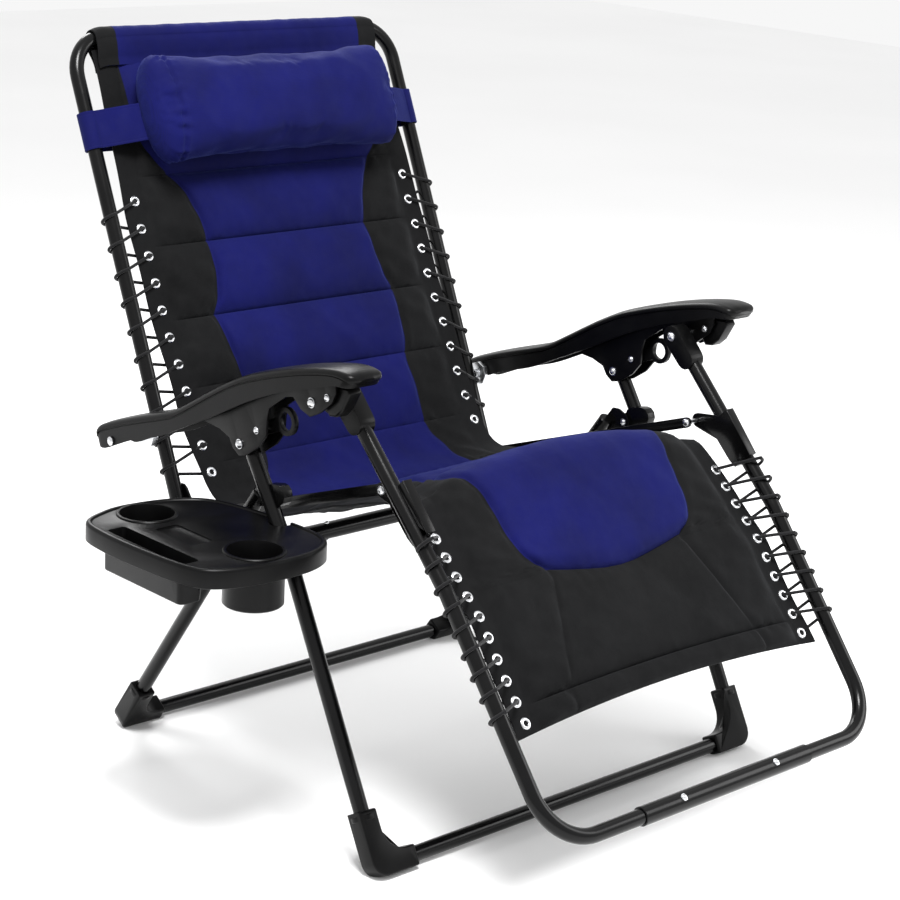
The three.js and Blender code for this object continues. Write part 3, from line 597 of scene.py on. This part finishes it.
# Armrests: a lofted cover, hollow underneath, with a groove between its cap and skirt
ARM_TOP = [(630, 474), (624, 489), (583, 507), (530, 526), (478, 543), (440, 557), (401, 579),
           (364, 601), (327, 622), (283, 643), (209, 668), (145, 685), (99, 693), (70, 691), (61, 684)]
ARM_RIM = [(626, 459), (606, 457), (575, 470), (538, 486), (473, 508), (414, 536), (352, 566),
           (275, 606), (209, 634), (140, 656), (99, 669), (70, 671)]
ARM_IN, ARM_OUT, ARM_WALL, ARM_LENGTH = 344.0, 406.0, 4.0, 655.0


def distances(line):
    """How far along the line each of its points lies."""
    return np.r_[0, np.cumsum(np.linalg.norm(np.diff(line, axis=0), axis=1))]


def unit(vectors):
    return vectors / np.maximum(np.linalg.norm(vectors, axis=-1, keepdims=True), 1e-9)


def at_shares(points, shares):
    """Points of a smooth line at these shares of its length."""
    line = np.array(smooth_line(points, 12))
    length = distances(line)
    return np.array([np.interp(np.asarray(shares) * length[-1], length, line[:, k])
                     for k in range(line.shape[1])]).T


def armrest(side, label):
    shares = np.r_[0, 0.004, 0.01, 0.018, 0.028, 0.04, np.linspace(0.055, 0.945, 60),
                   0.96, 0.972, 0.982, 0.99, 0.996, 1]
    top, rim = at_shares(ARM_TOP, shares), at_shares(ARM_RIM, shares)
    verts, per = [], 0
    for share, t, r in zip(shares, top, rim):
        deep = float(np.linalg.norm(t - r))
        down = (r - t) / deep
        to_end = min(share, 1 - share) * ARM_LENGTH
        narrow = 15 * (1 - sqrt(1 - (1 - min(to_end, 15) / 15) ** 2)) * 0.9
        a, b = ARM_IN + narrow, ARM_OUT - narrow
        hollow = min(1, max(0, (to_end - 4) / 10)) * max(0, deep - ARM_WALL)
        seam, radius, crown = min(11.0, deep * 0.55), min(9.0, deep * 0.45), 1.8
        outer = [(b - 1.4, deep), (b - 1.4, seam + 2.2), (b - 2.4, seam + 1.4), (b - 2.4, seam + 0.1),
                 (b - 0.3, seam - 0.6), (b, seam - 1.5)]
        outer += [(b - radius + radius * cos(q), crown + radius - radius * sin(q))
                  for q in np.linspace(0.05, pi / 2, 8)]
        middle = [(b + (a - b) * k, crown - crown * sin(pi * k))
                  for k in (0.3, 0.4, 0.5, 0.6, 0.7)]
        loop = outer + middle + [(a + b - x, d) for x, d in reversed(outer)]
        wall_a, wall_b = a + min(ARM_WALL, (b - a) / 4), b - min(ARM_WALL, (b - a) / 4)
        roof, step = (deep - hollow, deep - hollow + 2) if hollow >= 0.1 else (deep, deep)
        loop += [(wall_a, deep), (wall_a + 0.3, step), (wall_a + 3, roof), (wall_b - 3, roof),
                 (wall_b - 0.3, step), (wall_b, deep)]
        per = len(loop)
        verts += [at(side * x, *(t + down * d)) for x, d in loop]
    obj = new_object(f"armrest_{label}_fine", verts, loft_faces(len(shares), per), [PLASTIC],
                     sharp=None)
    edited(obj, face_outwards)
    obj.data.set_sharp_from_angle(angle=radians(50))
    put(obj, "armrests", "black_plastic", f"armrest_{label}")


for side, label in SIDES:
    armrest(side, label)

# Side tray
TRAY_Z, TRAY_DEPTH, TRAY_WALL = 441.0, 27.0, 3.5
TRAY_OUTLINE = [(-589, 384), (-550, 407), (-503, 415), (-432, 402), (-385, 366), (-362, 280),
                (-356, 195), (-361, 152), (-384, 124), (-430, 108), (-506, 108), (-566, 127),
                (-589, 165), (-599, 250), (-600, 334)]
CUP_R = 38.0
CUPS = (((-500, 366), 376.0), ((-474, 162), 366.0))


def shrunk(outline, inset):
    """A closed outline moved inwards."""
    run = unit(np.roll(outline, -1, axis=0) - np.roll(outline, 1, axis=0))
    inward = np.c_[-run[:, 1], run[:, 0]]
    if ((outline.mean(axis=0) - outline) * inward).sum() < 0:
        inward = -inward
    return outline + inward * inset


def rings(name, levels, outline):
    """A closed body through rings of one outline: (inset, z) in millimetres."""
    verts = [at(x, y, z) for inset, z in levels for x, y in shrunk(outline, inset)]
    faces = loft_faces(len(levels), len(outline))
    return edited(new_object(name, verts, faces, [PLASTIC], smooth=False), face_outwards)


def disc(centre, radius):
    return np.array(circle(Vector(centre), Vector((1, 0)), Vector((0, 1)), radius, 72))


def slot_outline(x, y, radius):
    """A rectangle between x[0], x[1] and y[0], y[1] with round corners."""
    out = []
    for i, (a, b) in enumerate(((0, 0), (1, 0), (1, 1), (0, 1))):
        middle = (x[a] + (1 - 2 * a) * radius, y[b] + (1 - 2 * b) * radius)
        angles = pi + i * pi / 2 + np.linspace(0, pi / 2, 8)
        out += [(middle[0] + radius * cos(q), middle[1] + radius * sin(q)) for q in angles]
    return np.array(out)


SLOT_X, SLOT_Y = (-586, -556), (172, 340)
outline = np.array(smooth_line(TRAY_OUTLINE, 12, closed=True))
low, above = TRAY_Z - TRAY_DEPTH, TRAY_Z + 20
tray = rings("tray_fine", [(1.2, low), (0, low + 1), (0, TRAY_Z - 5), (0.6, TRAY_Z - 2.4),
                           (2.0, TRAY_Z - 0.8), (4.0, TRAY_Z), (6.5, TRAY_Z), (8.0, TRAY_Z - 0.7),
                           (9.0, TRAY_Z - 2.2)], outline)
combine(tray, "DIFFERENCE", rings("under", [(3.6, low - 10), (3.6, TRAY_Z - 8), (6, TRAY_Z - 6.2)],
                                  outline))
wells = [rings("well", [(2, floor), (0, floor + 2), (0, TRAY_Z - 4)], disc(c, CUP_R + TRAY_WALL))
         for c, floor in CUPS]
wells += [rings("rim", [(0, TRAY_Z - 4), (0, TRAY_Z - 1.2), (1.4, TRAY_Z), (3.2, TRAY_Z)],
                disc(c, CUP_R + TRAY_WALL + 1.2)) for c, _ in CUPS]
around = [(a - TRAY_WALL, b + TRAY_WALL) for a, b in (SLOT_X, SLOT_Y)]
wells.append(rings("long_well", [(1, 384), (0, 386), (0, TRAY_Z - 4)], slot_outline(*around, 9)))
wells.append(rings("clip", [(2, 378), (0, 380), (0, TRAY_Z - 4)],
                   slot_outline((-398, -352), (184, 240), 6)))
combine(tray, "UNION", *wells)
hollows = [rings("cup", [(3, floor + TRAY_WALL), (0.6, floor + TRAY_WALL + 2.5), (0, above)],
                 disc(c, CUP_R)) for c, floor in CUPS]
hollows.append(rings("long", [(1, 387.5), (0, 390), (0, above)], slot_outline(SLOT_X, SLOT_Y, 6)))
hollows.append(rings("recess", [(1, TRAY_Z - 4.8), (0, TRAY_Z - 4.2), (0, above)],
                     slot_outline((-530, -492), (226, 308), 6)))
reach = TUBE_R + 1.5
hollows.append(loose_tube("leg", FRONT_RUN[:len(FRONT_RUN) // 2], reach * MM))
LEG_LINE = [Vector((0, LIFT)), Vector(FRONT_BEND), Vector(ARM_PIVOT)]
leg_runs = [(b - a).normalized() for a, b in zip(LEG_LINE, LEG_LINE[1:])]
band = []
for sign in (1, -1):
    beside = [Vector((d.y, -d.x)) * reach * sign for d in leg_runs]
    beside.insert(1, (beside[0] + beside[1]) / 2)
    band += [p + b for p, b in zip(LEG_LINE, beside)][::sign]
hollows.append(solid("passage", band, -FRONT_HALF, -FRONT_HALF + 80,
                     lambda y, z, x: at(x, y, z)))
combine(tray, "DIFFERENCE", *hollows)
put(soften(tray, 0.0007), "tray", "black_plastic", "tray")

# Padded sling: one cloth from the leg rest's hem (length 0) to the top bar
SLING = [(0, -186, 250), (62, -145, 297), (166, -75, 374), (252, -20, 440), (318, 19, 489),
         (358, 43, 517), (384, 66, 528), (419, 98, 517), (481, 150, 487), (563, 220, 448),
         (651, 300, 412), (735, 380, 386), (796, 440, 377), (841, 484, 384), (877, 512, 406),
         (923, 536, 445), (976, 562, 492), (1033, 590, 541), (1117, 636, 612), (1234, 690, 715),
         (1317, 727, 790), (1444, 780, 905), (1564, 834, 1012)]
# [length, half-width of the cloth]
EDGE = [(0, 306), (60, 302), (150, 301), (260, 299), (330, 292), (384, 288), (450, 285),
        (840, 285), (900, 286), (960, 291), (1300, 291), (1400, 286), (1564, 278)]
# [length, half-width of the blue panel], below the tongue's end the line of the calf seam
BLUE_EDGE = [(0, 196), (35, 190), (206, 131), (211, 141), (216, 150), (228, 165), (245, 174),
             (265, 178), (298, 182), (330, 184), (360, 192), (384, 200), (420, 208), (458, 196),
             (570, 190), (800, 188), (827, 183), (856, 182), (884, 168), (906, 162), (963, 166),
             (1010, 162), (1041, 170), (1089, 176), (1133, 181), (1153, 169), (1200, 161),
             (1245, 159), (1283, 165), (1323, 180), (1349, 198), (1375, 220), (1400, 236),
             (1430, 240), (1564, 240)]
# [length, how far the cloth's edges stand ahead of its middle]
EDGE_RISE = [(0, -6), (62, -4), (166, 1), (252, -9), (330, -22), (384, -33), (430, -25), (500, -7),
             (563, 4), (796, 8), (841, 4), (923, -5), (976, -7), (1033, -5), (1117, -2), (1317, 1),
             (1564, 0)]
TONGUE_END, HEM = 187.0, 38.0
FOOT_START, BACK_START = 209.7, 971.5    # lengths beside the kink of the foot frame and BACK_PIVOT
QUILT = [458.0, 570.0, 682.0, 794.0, 906.0, 1023.0, 1130.0, 1246.0, 1354.0, 1535.0]
CUTS = [0.0, 300.0, 365.0, 458.0, 794.0, 850.0, 906.0, 1556.0]
_line = np.array(smooth_line(SLING, 16))


def table(pairs, s):
    """A gently smoothed line through given pairs."""
    p = np.array(pairs, float)
    return sum(np.interp(s + d, p[:, 0], p[:, 1]) for d in (-6, -3, 0, 3, 6)) / 5


def spread_waves(x, s, *waves):
    """Sums of crossed ripples: (wavelength across, wavelength along, phase, height)."""
    return sum(h * np.sin(2 * np.pi * (x / a + s / b) + phase + 1.7 * np.sin(x / 31 + s / 47 + phase))
               for a, b, phase, h in waves)


def channel(s):
    """0 at a seam and 1 along the middle of a channel."""
    t = np.interp(s, QUILT, range(len(QUILT)))
    t = t - np.floor(t)
    quilted = np.maximum(0, 1 - np.abs(2 * t - 1) ** 2.4) ** 0.6
    knee = np.clip((s - TONGUE_END) / 26, 0, 1) * np.clip((QUILT[0] - s) / 30, 0, 1)
    knee = 0.72 * np.sin(knee * np.pi / 2) ** 0.7
    calf = np.clip((s - HEM) / 22, 0, 1) * np.clip((TONGUE_END - s) / 22, 0, 1)
    calf = 0.55 * np.sin(calf * np.pi / 2) ** 0.7
    hem = 0.62 * np.sqrt(np.maximum(0, 1 - (2 * s / HEM - 1) ** 2))
    return np.where(s < HEM, hem, np.where(s < TONGUE_END, calf, np.where(s < QUILT[0], knee,
                    np.where(s < QUILT[-1], quilted, 0))))


def sling_line(s):
    """y and z of the sling's middle line."""
    return np.interp(s, _line[:, 0], _line[:, 1]), np.interp(s, _line[:, 0], _line[:, 2])


def sling_points(s, x, blue, face):
    """Points of the cloth's front (face 1), back (-1) or middle (0), in millimetres."""
    (y, z), (y0, z0), (y1, z1) = sling_line(s), sling_line(s - 4), sling_line(s + 4)
    run = np.hypot(y1 - y0, z1 - z0)
    ny, nz = (z0 - z1) / run, (y1 - y0) / run
    edge = table(EDGE, s)
    off = table(EDGE_RISE, s) * (np.abs(x) / 270) ** 2
    # lacing pulls the edge between its eyelets, and the hem sags between the corners
    off = off + 1.2 * np.sin(2 * np.pi * s / 150 + 1) * (np.abs(x) / edge) ** 4
    if face:
        inside = np.clip((edge - 38 - np.abs(x)) / 34, 0, 1)
        inside = np.sin(inside * np.pi / 2) ** 0.8
        puff = channel(s)
        beside = np.clip((np.abs(x) - blue) / 12, 0, 1) * np.exp(-((s - TONGUE_END) / 40) ** 4)
        puff = (puff + (0.6 - puff) * beside) * inside
        gap = np.abs(np.abs(x) - blue)
        above = s > TONGUE_END - 8
        puff = puff * np.where(above, 1 - 0.5 * np.exp(-(gap / 6) ** 2),
                               1 - 0.3 * np.exp(-(gap / 4) ** 2))
        puff = puff * np.where((np.abs(x) > blue) & above, 0.78, 1.0)
        fold = np.array([HEM, TONGUE_END, *QUILT])
        nearest = np.min(np.abs(s[..., None] - fold), axis=-1)
        tuck = np.exp(-nearest / 16) * (nearest > 0.5) * np.minimum(1, nearest / 5)
        ripple = spread_waves(x, s, (23, 400, 0.3, 0.75), (17, -300, 1.9, 0.5), (41, 260, 4.0, 0.5))
        dark = np.clip((np.abs(x) - blue + 8) / 16, 0, 1)
        creases = spread_waves(x, s, (90, 60, 0.5, 0.8), (55, -75, 2.2, 0.6), (140, 33, 3.1, 0.35))
        soft = spread_waves(x, s, (170, 120, 1.0, 0.7), (120, -210, 2.6, 0.6), (70, 64, 0.2, 0.25))
        # thinner at the hip, where seat and back meet as the chair folds
        deep = (17 if face > 0 else 8) * (1 - 0.6 * np.exp(-((s - 870) / 150) ** 4))
        height = 1.5 + deep * puff + tuck * ripple * inside * (0.7 + 1.3 * dark)
        height = height + (1.5 * creases * dark + soft * (1 - dark)) * np.minimum(1, puff * 2) * 0.8
        band = np.exp(-((edge - 36 - np.abs(x)) / 1.6) ** 2)
        height = np.maximum(0.5, height - 1.2 * band)
        off = off + face * height
    return np.stack([x, y + ny * off, z + nz * off], axis=-1)


lengths = [np.arange(0, 1556, 6.0)]
for seam in [HEM, *QUILT]:
    lengths.append(seam + np.array([-5, -3.2, -1.8, -0.8, 0, 0.8, 1.8, 3.2, 5]))
lengths.append(TONGUE_END + np.array([-6, -4, -2, -1, 0, 1, 2, 4, 6]))
lengths = np.unique(np.round(np.concatenate([*lengths, CUTS]), 1))
lengths = lengths[(lengths >= 0) & (lengths <= CUTS[-1])]
keep = [0]
for i in range(1, len(lengths)):
    if lengths[i] - lengths[keep[-1]] > 0.75 or lengths[i] in (*CUTS, *QUILT, HEM, TONGUE_END):
        keep.append(i)
lengths = lengths[keep]
inner = np.r_[np.linspace(0, 0.9, 23), 0.93, 0.955, 0.972, 0.984, 0.992, 1]
strip = np.array([0.03, 0.07, 0.12, 0.18, 0.25, 0.33, 0.42, 0.5, 0.57, 0.63, 0.69, 0.74, 0.79,
                  0.84, 0.9, 0.96, 1])
tip_x, tip_drop = [0, 30, 60, 100, 131, 150], [0, 1.5, 6, 13, 19.5, 22]
near_tip = np.exp(-((lengths - TONGUE_END) / 42) ** 2)
half_blue, half_edge = table(BLUE_EDGE, lengths), table(EDGE, lengths)
for _ in range(6):
    half_blue = table(BLUE_EDGE, lengths + np.interp(half_blue, tip_x, tip_drop) * near_tip)
positive = np.c_[half_blue[:, None] * inner, half_blue[:, None]
                 + (half_edge - half_blue)[:, None] * strip]
across = np.c_[-positive[:, :0:-1], positive]
columns = across.shape[1]
blue_columns = (columns // 2 - len(inner) + 1, columns // 2 + len(inner) - 1)
hem_curve = 15 * (1 - (across / half_edge[:, None]) ** 2) * np.exp(-lengths[:, None] / 70)
along = lengths[:, None] + np.interp(np.abs(across), tip_x, tip_drop) * near_tip[:, None] + hem_curve
flat_s = lengths[:, None] + 0 * across
blue_half = half_blue[:, None] + 0 * across


def sling_face(face):
    """The relief follows the straight rows, and the tongue's end bends them."""
    straight = sling_points(flat_s, across, blue_half, face)
    bare = sling_points(flat_s, across, blue_half, 0)
    moved = sling_points(along, across, blue_half, 0)
    return straight - bare + moved


sling_front, sling_back = sling_face(1), sling_face(-1)


def grid_normals(points):
    return unit(np.cross(np.gradient(points, axis=1), np.gradient(points, axis=0)))


normal_front, normal_back = grid_normals(sling_front), -grid_normals(sling_back)
if normal_front[len(lengths) // 2, columns // 2, 2] < 0:
    normal_front, normal_back = -normal_front, -normal_back


def two_layers(rows, columns, shade, end_index):
    """Faces and material indices of a front and a back grid, joined along all four sides.
    shade(row, column) is the front's index. The back and the sides have index 1."""
    front, back = np.arange(2 * rows * columns).reshape(2, rows, columns).tolist()
    faces, indices = [], []
    for i in range(rows - 1):
        for k in range(columns - 1):
            faces.append((front[i][k], front[i][k + 1], front[i + 1][k + 1], front[i + 1][k]))
            faces.append((back[i + 1][k], back[i + 1][k + 1], back[i][k + 1], back[i][k]))
            indices += [shade(i, k), 1]
        for k in (0, columns - 1):
            q = (front[i][k], front[i + 1][k], back[i + 1][k], back[i][k])
            faces.append(q if k == 0 else q[::-1])
            indices.append(1)
    for i in (0, rows - 1):
        for k in range(columns - 1):
            q = (front[i][k], front[i][k + 1], back[i][k + 1], back[i][k])
            faces.append(q[::-1] if i == 0 else q)
            indices.append(end_index)
    return faces, indices


def sling_piece(name, low, high):
    """The stretch of cloth between two lengths, as a closed padded body."""
    a, b = int(np.argmin(np.abs(lengths - low))), int(np.argmin(np.abs(lengths - high)))
    stretch = slice(a, b + 1)
    verts = np.concatenate([grid[stretch].reshape(-1, 3) for grid in (sling_front, sling_back)])
    normals = np.concatenate([grid[stretch].reshape(-1, 3) for grid in (normal_front, normal_back)])
    uvs = np.stack([across[stretch], along[stretch]], -1).reshape(-1, 2) * MM

    def shade(i, k):
        return int(lengths[a + i] < TONGUE_END - 0.1 or not blue_columns[0] <= k < blue_columns[1])

    faces, indices = two_layers(b - a + 1, columns, shade, 1)
    obj = new_object(name, [at(*v) for v in verts], faces, [BLUE, BLACK], indices,
                     np.concatenate([uvs, uvs]), sharp=None)
    obj.data.normals_split_custom_set_from_vertices([tuple(n) for n in normals])
    return obj


def cloth_middle(s, x=0.0):
    """One point of the cloth's middle layer, in millimetres."""
    return sling_points(np.array([float(s)]), np.array([float(x)]), np.ones(1), 0)[0]


# name, its lengths, CAD node, and the body it rides on or the two that it lies between; a piece between two bodies
# stays unattached
for name, low, high, node, *bodies in (
        ("calf_cloth", 0, 300, "calf_pad", "footrest"),
        ("knee_cloth_lower", 300, 365, None, "footrest", "seat_front_pivots"),
        ("knee_cloth_upper", 365, 458, "knee_pad", "seat_front_pivots", "seat"),
        ("seat_cloth", 458, 794, "seat_pad", "seat"),
        ("hip_cloth_lower", 794, 850, "hip_pad", "seat", "seat_rear_pivots"),
        ("hip_cloth_upper", 850, 906, None, "seat_rear_pivots", "back"),
        ("back_cloth", 906, 1556, "back_pad", "back")):
    piece = sling_piece(name, low, high)
    if len(bodies) == 1:
        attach(piece, bodies[0])
    else:
        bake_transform(piece)
    if node:
        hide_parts(node)


def top_sleeve():
    """The sling's top end, sewn round the top bar."""
    bar = BACK_UP.y * (BACK_HIGH[1] - BACK_PIVOT[1]) + BACK_UP.x * (BACK_HIGH[0] - BACK_PIVOT[0])
    route = [(1530 - BACK_START, 5.5), (1541 - BACK_START, 6.5), (bar - 26, 9.5), (bar - 13, 13)]
    route += [(bar + 14.2 * sin(q), 14.2 * cos(q))
              for q in np.linspace(-0.35, pi + 0.15, 22)]
    route += [(bar - 14, -13), (bar - 26, -9), (bar - 38, -6.5), (bar - 50, -6.5)]
    route = np.array(smooth_line(route, 3))
    run = unit(np.gradient(route, axis=0))
    outward = np.c_[-run[:, 1], run[:, 0]]
    if (outward * (route - [bar, 0]))[10:-10].sum() < 0:
        outward = -outward
    metres = distances(route) * MM
    xs = np.r_[-276, -274.5, np.linspace(-270, -242, 8), np.linspace(-240, 240, 97),
               np.linspace(242, 270, 8), 274.5, 276]
    n, m = len(route), len(xs)
    verts, uvs = [], []
    for layer in (1.1, -1.1):
        for i in range(n):
            for x in xs:
                bend = max(0.0, abs(x) - 255)
                drop = 60 - sqrt(3600 - bend * bend)
                w = float(spread_waves(np.array(x), np.array(metres[i] * 1000),
                                       (31, 90, 0.3, 0.35), (74, -60, 2.0, 0.45)))
                u = route[i] + outward[i] * (layer + 0.5 * w * (layer > 0) + 0.4)
                verts.append(at(x, *on_back(u[0] - drop, u[1])))
                uvs.append((x * MM, 1.5 + metres[i]))
    faces, indices = two_layers(n, m, lambda i, k: int(abs(xs[k] + xs[k + 1]) >= 481), 0)
    obj = new_object("back_top_sleeve", verts, faces, [BLUE, BLACK], indices, uvs)
    edited(obj, face_outwards)
    put(obj, "back", "blue_cloth")


top_sleeve()


# Eyelets and lacing
def eyelet_place(s, x):
    """The middle of an eyelet and the cloth's direction ahead there, in millimetres."""
    run = cloth_middle(s + 4, x) - cloth_middle(s - 4, x)
    return Vector(cloth_middle(s, x)), Vector((0, -run[2], run[1])).normalized()


EYELET_SIDES = 24
EYELET_RING = [(-2.6, 3.9), (-3.1, 4.7), (-3.3, 6.2), (-2.8, 7.8), (-1.6, 8.6), (1.6, 8.6),
               (2.8, 7.8), (3.3, 6.2), (3.1, 4.7), (2.6, 3.9)]
# painted shade: a short dark plug that fills each eyelet's open hole
EYELET_SHADE_PLUG = [(-1.2, 3.9), (1.2, 3.9)]


def eyelet_parts(s, x):
    """A zinc ring without caps over its hole, and a dark plug that fills the hole: painted shade."""
    centre, normal = eyelet_place(s, x)
    (verts, faces, uvs, index), hole = (
        turned_part([(a * MM, r * MM) for a, r in profile], at(*centre), normal, EYELET_SIDES, i)
        for i, profile in enumerate((EYELET_RING, EYELET_SHADE_PLUG)))
    last = len(verts) - 1
    end = last - EYELET_SIDES
    faces = [f for f in faces if 0 not in f and last not in f]
    faces += [(end + k, end + (k + 1) % EYELET_SIDES, 1 + (k + 1) % EYELET_SIDES, 1 + k)
              for k in range(EYELET_SIDES)]
    return [(verts[1:last], [tuple(v - 1 for v in f) for f in faces], uvs[1:last], index), hole]


# first and pitch are along the frame's tube, and length turns them into the sling's length
LACES = {
    "back": dict(half=BACK_HALF, x=270.0, first=347.0, pitch=-42.5, count=10, place=on_back,
                 length=lambda a: a + BACK_START),
    "foot": dict(half=FOOT_HALF, x=284.0, first=-83.0, pitch=30.5, count=9, place=on_foot,
                 length=lambda a: FOOT_START - a),
}
CORD_R, WRAP_R, THROUGH = 2.4, TUBE_R + 2.9, 5
WRAP_ANGLES = range(105, -106, -21)
for name, lace in LACES.items():
    body = "back" if name == "back" else "footrest"
    x, pitch = lace["x"], lace["pitch"]
    starts = [lace["first"] + pitch * k for k in range(lace["count"] + 1)]
    lengths_of_eyelets = [lace["length"](start) for start in starts]
    holes = [eyelet_place(s, x) for s in lengths_of_eyelets]
    for side, label in SIDES:
        points = []
        for start, (hole, normal), (following, after) in zip(starts, holes, holes[1:]):
            points.append(tuple(hole + THROUGH * normal))
            for i, degrees in enumerate(WRAP_ANGLES):
                angle, share = radians(degrees), 0.35 + 0.03 * i
                points.append((lace["half"] + WRAP_R * cos(angle),
                               *lace["place"](start + pitch * share, WRAP_R * sin(angle))))
            points.append(tuple(following - THROUGH * after))
        route = [at(side * p[0], p[1], p[2]) for p in smooth_line(points, 6)]
        cord = join_meshes(f"{name}_lacing_{label}", [tube_part(route, CORD_R * MM, 12)], [CORD])
        put(cord, body, "elastic_cord", f"{name}_lace_{label}")
        parts = [part for s in lengths_of_eyelets for part in eyelet_parts(s, side * x)]
        eyelets = join_meshes(f"{name}_eyelets_{label}", parts, [ZINC, HOLE_SHADE_FINISH])
        put(eyelets, body, "zinc_steel")

# Headrest: a bolster swelled by a short cloth simulation, on an elastic band
PILLOW_HALF, PILLOW_ALONG, PILLOW_AHEAD, PILLOW_X = 244.0, 472.0, 60.0, -11.0
PILLOW_TALL, PILLOW_DEEP = 87.0, 44.0
VOXEL, PRESSURE, SWELL_LIMIT, SWELL_FRAMES = 0.005, 4.0, 0.009, 20


def bolster(name):
    """A closed roll with a flattened round section and domed ends, in the model's frame."""
    stations = np.r_[-1, -0.994, -0.98, -0.955, -0.92, np.linspace(-0.88, 0.88, 30), 0.92, 0.955,
                     0.98, 0.994, 1]
    sides, verts = 40, []
    for u in stations:
        size = max(0.02, 1 - max(0, (abs(u) - 0.88) / 0.12) ** 2.6) ** 0.4
        for k in range(sides):
            q = tau * k / sides
            c, s = (copysign(abs(v) ** 0.82, v) for v in (cos(q), sin(q)))
            verts.append(at(u * (PILLOW_HALF - 4) + PILLOW_X, *on_back(
                PILLOW_ALONG + (PILLOW_TALL - 3) * size * c,
                PILLOW_AHEAD + (PILLOW_DEEP - 7) * size * s)))
    obj = new_object(name, verts, loft_faces(len(stations), sides), [BLUE])
    return edited(obj, face_outwards)


def vertex_array(obj):
    return np.array([v.co for v in obj.data.vertices])


def swell(obj):
    """Fills a soft piece with air for a moment, and keeps every point near its start."""
    remesh = obj.modifiers.new("voxels", "REMESH")
    remesh.mode, remesh.voxel_size = "VOXEL", VOXEL
    applied(obj)
    start = vertex_array(obj)
    cloth_modifier = obj.modifiers.new("cloth", "CLOTH")
    settings, cache = cloth_modifier.settings, cloth_modifier.point_cache
    settings.use_pressure, settings.uniform_pressure_force = True, PRESSURE
    settings.effector_weights.gravity = 0
    settings.tension_stiffness = settings.compression_stiffness = 12
    cache.frame_start, cache.frame_end = 1, SWELL_FRAMES
    for f in range(1, SWELL_FRAMES + 1):
        bpy.context.scene.frame_set(f)
    applied(obj)
    bpy.context.scene.frame_set(1)
    move = vertex_array(obj) - start
    far = np.linalg.norm(move, axis=1)
    move *= np.minimum(1, SWELL_LIMIT / np.maximum(far, 1e-9))[:, None]
    obj.data.vertices.foreach_set("co", (start + move).ravel())
    smooth = obj.modifiers.new("fine", "SUBSURF")
    smooth.levels = smooth.render_levels = 1
    applied(obj)
    obj.data.shade_smooth()
    return obj


def pillow():
    obj = swell(bolster("headrest_pillow_soft"))
    centre = np.array(at(0, *on_back(PILLOW_ALONG, PILLOW_AHEAD)))
    up = np.array([0, BACK_UP.x, BACK_UP.y])
    out = np.array([0, -BACK_UP.y, BACK_UP.x])
    co = vertex_array(obj) - centre
    x, a, d = co[:, 0] * 1000, co @ up * 1000, co @ out * 1000
    angle = np.arctan2(d / PILLOW_DEEP, a / PILLOW_TALL)
    radial = unit(np.stack([0 * a, a, d], 1))
    seam_x = PILLOW_HALF - 30
    near = np.abs(np.abs(x) - seam_x)
    end = np.clip((np.abs(x) - seam_x + 30) / 30, 0, 1)
    shift = -2.6 * np.exp(-(near / 3.2) ** 2) + 1.1 * np.exp(-((near - 6) / 3) ** 2)
    shift += end * np.exp(-near / 14) * (1.5 * np.sin(17 * angle + 2 * np.sin(3 * angle))
                                         + 0.9 * np.sin(29 * angle + 1.3))
    shift += spread_waves(x, angle * 60, (150, 90, 0.4, 1.1), (95, -120, 2.4, 0.9),
                          (60, 55, 5.0, 0.35)) * np.clip((seam_x - np.abs(x)) / 60, 0.2, 1)
    # a soft fold along the front, where the filling is heavier below
    shift += 1.6 * np.exp(-((a - 18) / 16) ** 2) * (d > 0) * np.cos(x / 130)
    co = x[:, None] * np.array([1, 0, 0]) + (a + radial[:, 1] * shift)[:, None] * up \
        + (d + radial[:, 2] * shift)[:, None] * out
    obj.data.vertices.foreach_set("co", (centre + co * MM).ravel())
    layer = obj.data.uv_layers.new(name="Cloth")
    loops = corner_vertices(obj.data)
    turn = angle[loops]
    for face in obj.data.polygons:
        corners = slice(face.loop_start, face.loop_start + face.loop_total)
        if np.ptp(turn[corners]) > pi:
            turn[corners] %= tau
    layer.data.foreach_set("uv", np.stack([x[loops] * MM, turn * 0.064], 1).ravel())
    obj.data.materials.clear()
    obj.data.materials.append(BLUE)
    put(obj, "headrest", "blue_cloth", "headrest_pillow")


pillow()


def strap():
    """A flat band round both back tubes, held in the pillow's ends."""
    radius, wide, thick, centre = TUBE_R + 3.0, 57.0, 2.0, 489.0
    half = [(196.0, 52.0), (228.0, 46.0), (262.0, 33.0)]
    half += [(BACK_HALF + radius * cos(q), radius * sin(q))
             for q in np.radians(np.linspace(115, -90, 22))]
    half += [(240.0, -14.0), (120.0, -13.4)]
    route = np.array(smooth_line(half + [(-x, d) for x, d in reversed(half)], 5))
    run = unit(np.gradient(route, axis=0))
    outward = np.c_[run[:, 1], -run[:, 0]]
    run_length = distances(route)
    profile = [(-wide, 0.0), (-wide, 0.7), (-wide + 0.6, 1.0), (-wide + 3, 1.05), (-wide + 3.8, 0.75),
               (-wide + 5, 1.0)]
    profile += [(-wide * t, 1.0) for t in np.linspace(0.88, 0.12, 12)]
    profile += [(-5, 1.0), (-3.8, 0.75), (-3, 1.05), (-0.6, 1.0), (0, 0.7), (0, 0.0)]
    loop = profile + [(w, -h) for w, h in reversed(profile[1:-1])]
    verts, uvs = [], []
    for i, (p, o) in enumerate(zip(route, outward)):
        for w, h in loop:
            wave = 0.5 * sin(run_length[i] / 19 + w / 23) * (abs(p[0]) < 300)
            q = p + o * (h * thick / 2 + wave)
            verts.append(at(q[0], *on_back(centre + w, q[1])))
            uvs.append((run_length[i] * MM, (w + h) * MM))
    obj = new_object("headrest_band", verts, loft_faces(len(route), len(loop)), [BLUE], uvs=uvs)
    put(edited(obj, face_outwards), "headrest", "blue_cloth", "headrest_strap")


strap()
